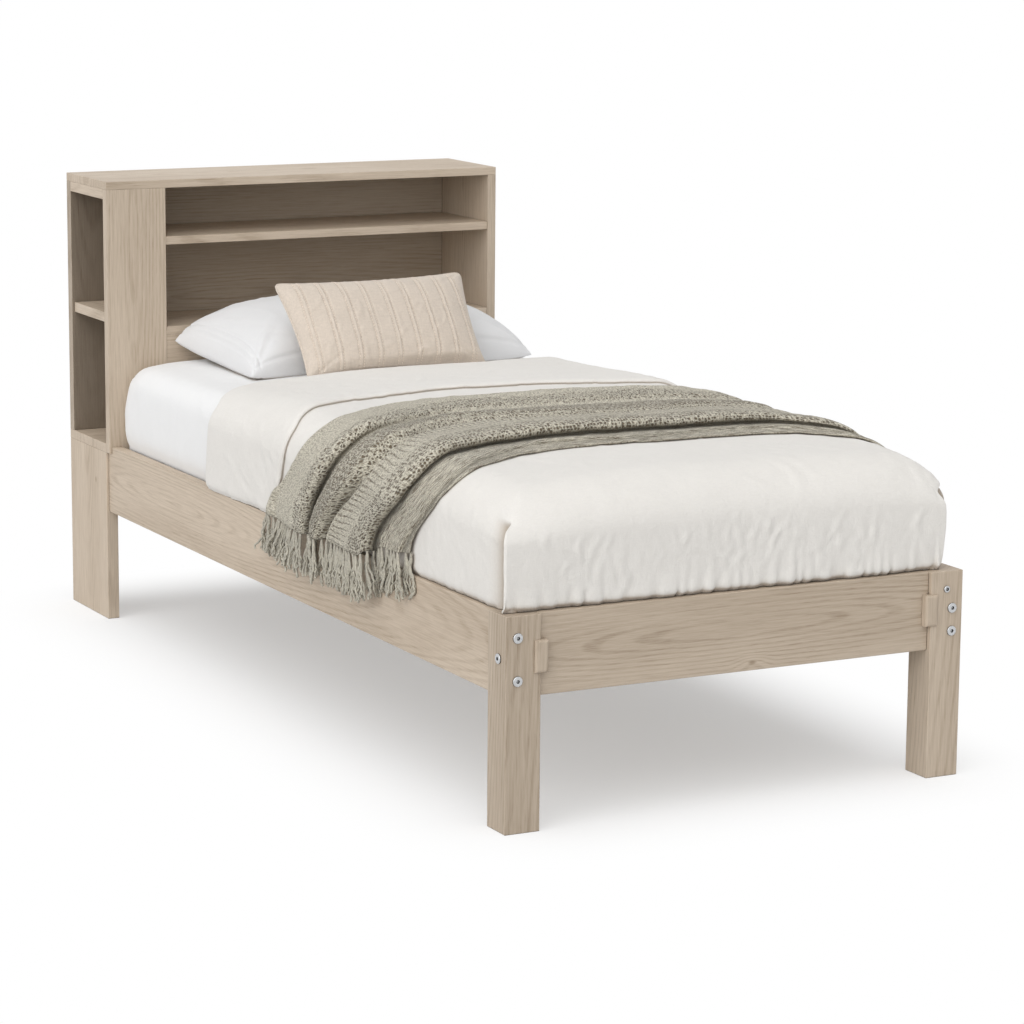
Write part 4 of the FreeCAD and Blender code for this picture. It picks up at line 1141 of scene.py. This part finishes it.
def make_cushion(settings):
    """Oblong cushion with piped edge and stitched pairs of lines."""
    w, d = 465.0, 242.0
    points, faces, sheet, rim = stuffed_sheets(w, d, 52, 48, 12, 210, 90, 2.8,
                                               1.0, 24.0)
    points[:, 0] *= 1 - 0.045 * step_up(points[:, 1], d / 2, -d / 2)
    n = normals(points, faces)
    u, v = points[:, 0].copy(), points[:, 1].copy()
    edge = 1 - np.clip(np.maximum(np.abs(sheet[:, 0]) ** 8,
                                  np.abs(sheet[:, 1]) ** 8), 0, 1)
    lift = unevenness(points, 120.0, 41) * 2.2 * edge
    # stitched channels in pairs, with a ridge between the two of a pair
    pairs, half_gap = settings.channels, 5.2
    pitch = w / (pairs + 0.75)
    rows = []
    for k in range(pairs):
        centre = (k - (pairs - 1) / 2) * pitch
        for line in (centre - half_gap, centre + half_gap):
            rows.append(line)
            lift -= 2.4 * bell(u - line, 2.0) * edge
        lift += 1.4 * bell(u - centre, 3.0) * edge
    lift += creases(u, v, 42, 52, (-235, 235), (-125, 125), 26, 6,
                    1.5 * settings.wrinkles) * edge
    # short gathers that run in from the piped edge
    rng = np.random.default_rng(14)
    for k in range(70):
        along_w = k % 2 == 0
        half, reach = (d / 2, w / 2) if along_w else (w / 2, d / 2)
        at, side = rng.uniform(-0.95, 0.95) * reach, rng.choice((-1, 1))
        across, inward = (u, v) if along_w else (v, u)
        depth = half - side * inward
        off = (across - at - rng.normal(0, 0.2) * depth) / rng.uniform(3.5, 7.0)
        lift += (rng.uniform(0.5, 1.7) * settings.wrinkles * edge
                 * bell(depth, rng.uniform(14, 34)) * ridge(off))
    points = points + n * lift[:, None]
    lean, yaw = 54.0, 3.5
    s, c = math.sin(math.radians(lean)), math.cos(math.radians(lean))
    place = (491.0, 1471 + d / 2 * c, 594 + d / 2 * s)
    shape = turned(points, lean, yaw, place)
    x, y, z = shape.T
    # its foot stands on the mattress, behind the duvet's fold
    fold = np.interp(x, *HEM) + 2.0
    z[:] = np.maximum(z, mattress_top(x) + 1.5)
    y += 0.85 * np.maximum(fold - y, 0) * step_up(z, 640, 612)
    finish = cotton_finish("sand cushion cotton", settings.cushion,
                           toned(settings.cushion, 0.86), thread=2.0,
                           slub=0.6, depth=0.0009)
    piece = mesh_piece("lumbar_cushion_cover", shape, faces, finish)
    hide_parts("lumbar_cushion")
    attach(piece, "root")
    piping = follow(path_piece("edge", [shape[rim]], closed=True), cord_tree(),
                    {"Cord Radius": 0.0024, "Material": finish}, "cushion_piping")
    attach(piping, "root")
    # stitches on the front, just proud of their channels
    skin = BVHTree.FromPolygons([Vector(p) for p in shape], faces)
    axis = turned(np.array([[0, 0, 1.0]]), lean, yaw, (0, 0, 0))[0]
    count, ends_in, start_out, proud = 60, 9, 120.0, 0.5
    along = np.linspace(-d / 2 + ends_in, d / 2 - ends_in, count)
    lines = []
    for row in rows:
        local = np.stack([np.full(count, row), along, np.full(count, start_out)], -1)
        hits = [skin.ray_cast(Vector(p), Vector(-axis))[0]
                for p in turned(local, lean, yaw, place)]
        lines.append([np.array(hit) + axis * proud
                      for hit in hits if hit is not None])
    thread = cotton_finish("stitching thread", toned(settings.cushion, 1.2),
                           settings.cushion, thread=0.6)
    stitches = follow(path_piece("rows", lines), stitch_tree(),
                      {"Material": thread}, "cushion_stitches")
    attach(stitches, "root")


# Lines over the bed from the left hem to the right one: the path's share, then
# the places along the bed of the throw's head-side edge, of the crests of its
# three folds, of its upper layer's edge and of its foot-side edge.
THROW_LINES = np.array((
    (0.000, 1057, 828, 772, 556, 430, 398), (0.052, 1005, 803, 716, 506, 383, 372),
    (0.082, 962, 782, 676, 474, 355, 346), (0.111, 917, 748, 624, 431, 318, 308),
    (0.140, 884, 708, 584, 384, 288, 277), (0.165, 866, 686, 565, 369, 274, 260),
    (0.189, 858, 686, 569, 378, 276, 257), (0.218, 872, 699, 592, 396, 300, 272),
    (0.257, 906, 727, 632, 415, 335, 300), (0.296, 934, 752, 652, 425, 362, 315),
    (0.345, 950, 774, 656, 428, 378, 325), (0.394, 953, 782, 643, 427, 366, 328),
    (0.453, 950, 777, 627, 423, 345, 318), (0.511, 955, 774, 628, 420, 345, 313),
    (0.570, 958, 772, 630, 427, 365, 322), (0.629, 957, 772, 630, 432, 382, 327),
    (0.697, 950, 782, 638, 436, 378, 331), (0.746, 945, 772, 645, 436, 370, 318),
    (0.775, 940, 755, 640, 418, 345, 294), (0.804, 935, 735, 620, 368, 305, 258),
    (0.834, 930, 722, 605, 335, 272, 222), (0.873, 928, 718, 598, 325, 262, 210),
    (1.000, 940, 735, 610, 340, 270, 218)))
# The throw's section from its head-side edge to its foot-side one. Each place
# lies between two of the lines above, by a share and then millimetres towards
# the head; the last number is its height.
THROW_SECTION = (
    (0, 0, 0.0, 0, -1.5), (0, 1, 0.0, -3, 2.5), (0, 1, 0.12, 0, 3),
    (0, 1, 0.35, 0, 9), (0, 1, 0.62, 0, 18), (1, 1, 0.0, 26, 24),
    (1, 1, 0.0, 10, 25), (1, 1, 0.0, 1, 21), (1, 1, 0.0, -5, 14),
    (1, 1, 0.0, -5, 8), (1, 1, 0.0, 0, 5), (1, 1, 0.0, 7, 3.5),
    (1, 1, 0.0, 10, 1.5), (1, 1, 0.0, 4, 0.2), (1, 1, 0.0, -9, 1),
    (1, 1, 0.0, -18, 7), (1, 2, 0.35, 0, 14), (1, 2, 0.6, 0, 17),
    (2, 2, 0.0, 24, 21), (2, 2, 0.0, 13, 22), (2, 2, 0.0, 5, 20),
    (2, 2, 0.0, -1, 16), (2, 2, 0.0, -6, 11.5), (2, 2, 0.0, -11, 7.5),
    (2, 2, 0.0, -16, 4.6), (2, 2, 0.0, -21, 3.2), (2, 2, 0.0, -26, 3.6),
    (2, 2, 0.0, -31, 5.6), (2, 2, 0.0, -37, 9), (2, 3, 0.24, 0, 12),
    (2, 3, 0.34, 0, 12), (2, 3, 0.55, 0, 17), (2, 3, 0.76, 0, 25),
    (3, 3, 0.0, 16, 29), (3, 3, 0.0, 0, 25), (3, 3, 0.0, -8, 18),
    (3, 3, 0.0, -9, 11), (3, 3, 0.0, -4, 6), (3, 3, 0.0, 5, 4),
    (3, 3, 0.0, 9, 1.5), (3, 3, 0.0, 3, 0.2), (3, 3, 0.0, -16, 0.6),
    (3, 4, 0.55, 0, 4), (4, 4, 0.0, 8, 7.5), (4, 4, 0.0, -1, 7),
    (4, 4, 0.0, -4, 4.5), (4, 4, 0.0, -2, 0.2), (4, 5, 0.6, 0, 0.8),
    (5, 5, 0.0, 6, 2.6), (5, 5, 0.0, 1, 2.0), (5, 5, 0.0, 0, -2.2))
# Places in the section at which the knit's bands begin and end.
BAND_ENDS = dict(lace_a=(4.5, 9.5), cable=(14.0, 20.5), lace_b=(21.0, 27.0),
                 ladder=(28.4, 31.2), holes=(31.5, 36.5), ribs=(39.0, 50.0))
# The places in the section that make up the curled edge of the first fold,
# and the two head-side folds.
FIRST_CURL = range(5, 16)
FIRST_FOLD = range(5, 17)
SECOND_FOLD = range(17, 29)


def throw_path(count):
    """Places and outward directions over the duvet, left hem to right hem."""
    left, right, hem, top = 7.0, 958.0, (385.0, 415.0), 617.0
    rx, rz = 88.0, 84.0
    turn = np.linspace(0.03, math.pi / 2, 30)
    line = [(left, z) for z in np.linspace(hem[0], top - rz, 40)]
    line += [(left + rx - rx * math.cos(a), top - rz + rz * math.sin(a))
             for a in turn]
    line += [(x, top + DUVET_ARCH * crown(x, DUVET_HALF))
             for x in np.linspace(left + rx, right - rx, 120)[1:-1]]
    line += [(right - rx + rx * math.cos(a), top - rz + rz * math.sin(a))
             for a in turn[::-1]]
    line += [(right, z) for z in np.linspace(top - rz, hem[1], 40)]
    line = np.array(line)
    run = np.concatenate([[0], np.cumsum(np.hypot(*np.diff(line, axis=0).T))])
    at = np.linspace(0, run[-1], count)
    x, z = (softened(np.interp(at, run, line[:, k]), 3, 0) for k in (0, 1))
    dx, dz = np.gradient(x), np.gradient(z)
    size = np.hypot(dx, dz)
    return x, z, -dz / size, dx / size, run[-1]


def throw_section(share, fold, nv):
    """Place along the bed, height and band place over the throw's width."""
    count = len(share)
    lines = []
    for k in range(6):
        y = softened(np.interp(share, THROW_LINES[:, 0], THROW_LINES[:, k + 1]), 30, 0)
        stray = uneven_over(share * 14, 9 * k, 0, 1.0, 63)
        lines.append(y + 3.5 * stray * (0.4 if k > 3 else 1.0))
    size = np.interp(share, [0, 0.08, 0.15, 0.22, 0.7, 0.8, 0.86, 1],
                     [1.75, 1.55, 1.0, 1.1, 1.0, 0.62, 0.7, 0.9]) * fold
    # how full the two head-side folds are along their length
    full = (np.interp(share, [0, 0.1, 0.2, 0.28, 0.38, 0.5, 0.62, 0.72, 0.85, 1],
                      [1.15, 1.2, 1.0, 0.65, 0.5, 0.4, 0.5, 0.4, 0.65, 1]),
            np.interp(share, [0, 0.08, 0.16, 0.24, 0.36, 0.48, 0.6, 0.72, 0.85, 1],
                      [1.4, 1.35, 1.15, 1.0, 0.75, 0.7, 0.5, 0.6, 0.65, 0.9]))
    # how far the first fold's edge curls over; elsewhere it slopes evenly
    lip = np.interp(share, [0, 0.08, 0.16, 0.24, 0.36, 0.8, 0.9, 1],
                    [1, 1, 0.85, 0.5, 0.22, 0.2, 0.6, 0.9])
    near = np.clip((lines[1] - lines[2]) / 110.0, 0.5, 1.0)
    tallest = 38.0
    ys, hs = [], []
    for n, (a, b, part, extra, high) in enumerate(THROW_SECTION):
        if n in FIRST_CURL:
            slope = 26 - 5.6 * (n - FIRST_CURL[0])
            extra = extra * lip + slope * (1 - lip)
        ys.append(lines[a] + (lines[b] - lines[a]) * part
                  + extra * (near if a in (1, 2) else 1.0))
        own = uneven_over(share * 9, 3.1 * (n // 4), 0, 1.0, 64)
        grown = high * size * (1 + 0.28 * own) if high > 6 else 0 * share + high
        if n in FIRST_FOLD:
            grown = grown * full[0]
        elif n in SECOND_FOLD:
            grown = grown * full[1]
        hs.append(tallest * np.tanh(grown / tallest))
    ys, hs = np.array(ys).T, np.array(hs).T
    # points at even distances over the section
    step = np.hypot(np.diff(ys, axis=1), np.diff(hs, axis=1))
    run = np.concatenate([np.zeros((count, 1)), np.cumsum(step, axis=1)], 1)
    places = np.arange(len(THROW_SECTION), dtype=float)
    along, height, place = (np.empty((count, nv)) for _ in range(3))
    for i in range(count):
        at = np.linspace(0, run[i, -1], nv)
        for values, known in ((along, ys[i]), (height, hs[i]), (place, places)):
            values[i] = np.interp(at, run[i], known)
    for values in (along, height):
        values[:, 1:-1] = softened(softened(values, 3, 1), 2, 0)[:, 1:-1]
    widths = np.concatenate([[0], np.cumsum(step.mean(0))])
    return along, height, place, widths / 1000.0


def height_over(skin, base, out, reach=60.0, none_at=-30.0, farthest=0.14):
    """How far a piece's surface lies outside each place, along its direction."""
    rest = np.zeros(base.shape[:2])
    start = (base + out[:, None, :] * reach - ORIGIN) / 1000.0
    for i, j in np.ndindex(*rest.shape):
        hit = skin.ray_cast(Vector(start[i, j]), Vector(-out[i]), farthest)
        rest[i, j] = reach - hit[3] * 1000.0 if hit[0] is not None else -reach
    return np.where(rest < none_at, 0.0, rest)


def make_throw(settings, duvet):
    """Gathered knitted throw laid across the bed, with a fringe at both ends."""
    nu, nv = 205, 236
    x, z, nx, nz, reach = throw_path(nu)
    share = np.linspace(0, 1, nu)
    along_bed, height, place, widths = throw_section(share, settings.fold / 20.0, nv)
    down = np.repeat(share[:, None], nv, 1)
    # the left hem hangs lower towards the head
    short = np.maximum(1 - down / 0.12, 0) ** 1.2 * np.interp(
        along_bed, [398, 520, 560, 800, 1000, 1060], [50, 40, 17, 12, 10, 16])
    run = down.ravel() * reach
    broad = uneven_over(run, along_bed.ravel(), 0, 90.0, 65).reshape(down.shape)
    ripple = uneven_over(run, place.ravel() * 22, 0, 17.0, 62, 1).reshape(down.shape)
    # set down on the duvet
    bpy.context.view_layer.update()
    graph = bpy.context.evaluated_depsgraph_get()
    skin = BVHTree.FromObject(duvet.evaluated_get(graph), graph)
    out = np.stack([nx, np.zeros(nu), nz], -1)
    base = np.stack([np.repeat(x[:, None], nv, 1), along_bed,
                     np.repeat(z[:, None], nv, 1) + short], -1)
    rest = height_over(skin, base, out)
    rest = np.maximum(softened(softened(rest, 6, 0), 6, 1), rest - 0.2)
    clear, least = 4.6, 3.8
    uneven = broad * np.clip(height, 0, 14) * 0.16
    lift = rest + np.maximum(clear + height + uneven + 0.9 * ripple, least)
    # hangs free of the rail below the shoulder
    lift += step_up(-z, -520.0, -420.0)[:, None] * 3.5
    shape = base + out[:, None, :] * lift[..., None]
    # flat sizes, along the threads
    width, length = (
        float(np.linalg.norm(np.diff(shape, axis=axis), axis=2).sum(axis).mean()) / 1000
        for axis in (1, 0))
    places = np.arange(len(widths))
    uv = np.stack([down * length, np.interp(place, places, widths)], -1)
    ends = {name: np.interp(pair, places, widths).tolist()
            for name, pair in BAND_ENDS.items()}
    piece = mesh_piece("throw_knitted", shape.reshape(-1, 3), grid_faces(nu, nv),
                       knit_finish(settings, ends), uv.reshape(-1, 2))
    thicken(piece, 0.0036)
    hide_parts("throw")
    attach(piece, "root")
    yarn = cotton_finish("sage fringe yarn", toned(settings.yarn, 0.73),
                         toned(settings.yarn, 0.38), thread=2.4, slub=0.5,
                         depth=0.0012)
    hems = [shape[row] - out[row] * 1.8 for row in (0, -1)]
    fringe = follow(path_piece("hems", hems), fringe_tree(),
                    {"Strands": settings.strands, "Length": settings.fringe / 1000,
                     "Material": yarn}, "throw_fringe_yarn")
    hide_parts("throw_fringe")
    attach(fringe, "root")


# -------------------------------------------------------------------- stage
# The floor's half width, and the half sizes of its part under the bed, which
# keeps the bed's shadow, lightened by a painted glow. Past it, in metres, the floor turns to
# plain white.
FLOOR_HALF = 60e3
SHADOW_HALF = (0.35, 0.95, 0.0)
FADE = 0.38
# The camera: its place in metres, its turn to the right, its tilt down and
# its roll in degrees, and its focal length in pixels of a square picture.
EYE = (-3.2306, -6.3994, 1.7263)
YAW, PITCH, ROLL = 27.4458, 10.806, 0.4577
FOCAL, PICTURE = 3493.7, 1024


def seen_directly(tree):
    """Is 1 for the camera and in reflections and clear glass, otherwise 0."""
    rays = put(tree, "ShaderNodeLightPath")
    return rays["Is Camera Ray"].calc("MAXIMUM", rays["Is Glossy Ray"].calc(
        "MAXIMUM", rays["Is Transmission Ray"]))


def floor_finish():
    """Pale floor that keeps the bed's shadow, lightened by painted light, and turns white away
    from the bed.
    """
    finish, tree, shader = new_finish("white studio floor")
    seen = seen_directly(tree)
    feed(shader, {"Roughness": 0.9, "Specular IOR Level": 0.0,
                  "Base Color": tint(seen, rgba((0.62,) * 3), rgba((0.98,) * 3))})
    place = put(tree, "ShaderNodeTexCoord")["Object"]
    past = place.vector("ABSOLUTE").vector("SUBTRACT", SHADOW_HALF)
    far = past.vector("MAXIMUM", (0.0, 0.0, 0.0)).vector("LENGTH")["Value"]
    glow = put(tree, "ShaderNodeEmission", {"Color": (1, 1, 1, 1), "Strength": 1.0})
    # painted light: for the camera the floor glows a third white even under the bed, which
    # lightens the bed's shadow
    both = put(tree, "ShaderNodeMixShader",
               {0: seen * ramp(far, 0.0, FADE, 0.34, 1.0),
                1: Value(shader), 2: glow})
    feed(tree.nodes["Material Output"], {"Surface": both})
    return finish


def light_room(settings):
    """Even light from all round, seen as white, and two soft lamps."""
    world = bpy.data.worlds.new("room light")
    bpy.context.scene.world = world
    world.use_nodes = True
    tree = world.node_tree
    tree.nodes.clear()
    room, white = (put(tree, "ShaderNodeBackground",
                       {"Color": (1, 1, 1, 1), "Strength": strength})
                   for strength in (settings.fill, 1.0))
    both = put(tree, "ShaderNodeMixShader", {0: seen_directly(tree), 1: room, 2: white})
    put(tree, "ShaderNodeOutputWorld", {"Surface": both})
    for name, towards, spread, power in (
            ("overhead softbox", (-0.26, -0.30, 0.92), 70, settings.key),
            ("side softbox", (-0.76, -0.58, 0.26), 80, settings.side)):
        light = bpy.data.lights.new(name, "SUN")
        light.energy = power
        light.angle = math.radians(spread)
        lamp = bpy.data.objects.new(name, light)
        bpy.context.scene.collection.objects.link(lamp)
        lamp.matrix_world = Vector(towards).to_track_quat(
            "Z", "Y").to_matrix().to_4x4()


def set_camera():
    """Camera at the photograph's viewing angle."""
    yaw, pitch, roll = (math.radians(v) for v in (YAW, PITCH, ROLL))
    look = Vector((math.sin(yaw) * math.cos(pitch),
                   math.cos(yaw) * math.cos(pitch), -math.sin(pitch)))
    right = Vector((math.cos(yaw), -math.sin(yaw), 0))
    up = right.cross(look)
    across = right * math.cos(roll) + up * math.sin(roll)
    above = up * math.cos(roll) - right * math.sin(roll)
    camera = bpy.data.cameras.new("camera")
    camera.sensor_width = 36.0
    camera.lens = FOCAL / PICTURE * camera.sensor_width
    camera.clip_end = 200.0
    eye = bpy.data.objects.new("camera", camera)
    bpy.context.scene.collection.objects.link(eye)
    turn = Matrix((across, above, -look)).transposed().to_4x4()
    eye.matrix_world = Matrix.Translation(EYE) @ turn
    bpy.context.scene.camera = eye


def make_stage(settings):
    """Pale floor, room light, soft lamps and the camera."""
    corners = np.array([(-1, -1, 0), (1, -1, 0), (1, 1, 0), (-1, 1, 0)], float)
    floor = mesh_piece("studio_floor", corners * FLOOR_HALF, [(0, 1, 2, 3)],
                       floor_finish(), smooth=False)
    light_room(settings)
    set_camera()
    bpy.context.scene.view_settings.view_transform = "Standard"


# ---------------------------------------------------------------- operators
class BED_OT_wood(bpy.types.Operator):
    """Give every board its own piece of washed oak or softwood"""
    bl_idname = "bed.wood"
    bl_label = "Wood"

    def execute(self, context):
        dress_wood(context.scene.bed_wood)
        return {"FINISHED"}


class BED_OT_steel(bpy.types.Operator):
    """Plate the bolts, nuts, screws and pins"""
    bl_idname = "bed.steel"
    bl_label = "Hardware"

    def execute(self, context):
        dress_steel(context.scene.bed_wood)
        return {"FINISHED"}


class BED_OT_mattress(bpy.types.Operator):
    """Make the mattress in its fitted sheet"""
    bl_idname = "bed.mattress"
    bl_label = "Mattress"

    def execute(self, context):
        make_mattress(context.scene.bed_bedding)
        return {"FINISHED"}


class BED_OT_duvet(bpy.types.Operator):
    """Make the duvet with its turned-back part"""
    bl_idname = "bed.duvet"
    bl_label = "Duvet"

    def execute(self, context):
        make_duvet(context.scene.bed_bedding)
        return {"FINISHED"}


class BED_OT_pillow(bpy.types.Operator):
    """Make the pillow"""
    bl_idname = "bed.pillow"
    bl_label = "Pillow"

    def execute(self, context):
        make_pillow(context.scene.bed_bedding)
        return {"FINISHED"}


class BED_OT_cushion(bpy.types.Operator):
    """Make the oblong cushion, its piping and its stitching"""
    bl_idname = "bed.cushion"
    bl_label = "Cushion"

    def execute(self, context):
        make_cushion(context.scene.bed_bedding)
        return {"FINISHED"}


class BED_OT_throw(bpy.types.Operator):
    """Lay the knitted throw over the duvet and hang its fringe"""
    bl_idname = "bed.throw"
    bl_label = "Throw"

    def execute(self, context):
        make_throw(context.scene.bed_throw, bpy.data.objects["duvet_cover"])
        return {"FINISHED"}


class BED_OT_stage(bpy.types.Operator):
    """Set the floor, the lamps and the camera"""
    bl_idname = "bed.stage"
    bl_label = "Stage"

    def execute(self, context):
        make_stage(context.scene.bed_stage)
        return {"FINISHED"}


class BED_PT_panel(bpy.types.Panel):
    """Lists the bed's pieces and their settings"""
    bl_idname = "BED_PT_panel"
    bl_label = "Bookcase Bed"
    bl_space_type = "VIEW_3D"
    bl_region_type = "UI"
    bl_category = "Bed"

    def draw(self, context):
        for group, steps in PANEL:
            box = self.layout.box()
            settings = getattr(context.scene, group)
            for name in settings.__annotations__:
                box.prop(settings, name)
            for step in steps:
                box.operator(step)


PANEL = (("bed_wood", ("bed.wood", "bed.steel")),
         ("bed_bedding", ("bed.mattress", "bed.duvet", "bed.pillow", "bed.cushion")),
         ("bed_throw", ("bed.throw",)),
         ("bed_stage", ("bed.stage",)))
GROUPS = {"bed_wood": BED_PG_wood, "bed_bedding": BED_PG_bedding,
          "bed_throw": BED_PG_throw, "bed_stage": BED_PG_stage}
CLASSES = (*GROUPS.values(), BED_OT_wood, BED_OT_steel, BED_OT_mattress,
           BED_OT_duvet, BED_OT_pillow, BED_OT_cushion, BED_OT_throw,
           BED_OT_stage, BED_PT_panel)


def register():
    for cls in CLASSES:
        bpy.utils.register_class(cls)
    for name, cls in GROUPS.items():
        setattr(bpy.types.Scene, name, PointerProperty(type=cls))


def unregister():
    for name in GROUPS:
        delattr(bpy.types.Scene, name)
    for cls in reversed(CLASSES):
        bpy.utils.unregister_class(cls)


def main():
    register()
    bpy.ops.bed.stage()
    bpy.ops.bed.wood()
    bpy.ops.bed.steel()
    bpy.ops.bed.mattress()
    bpy.ops.bed.duvet()
    bpy.ops.bed.pillow()
    bpy.ops.bed.cushion()
    bpy.ops.bed.throw()


if __name__ == "__main__":
    main()
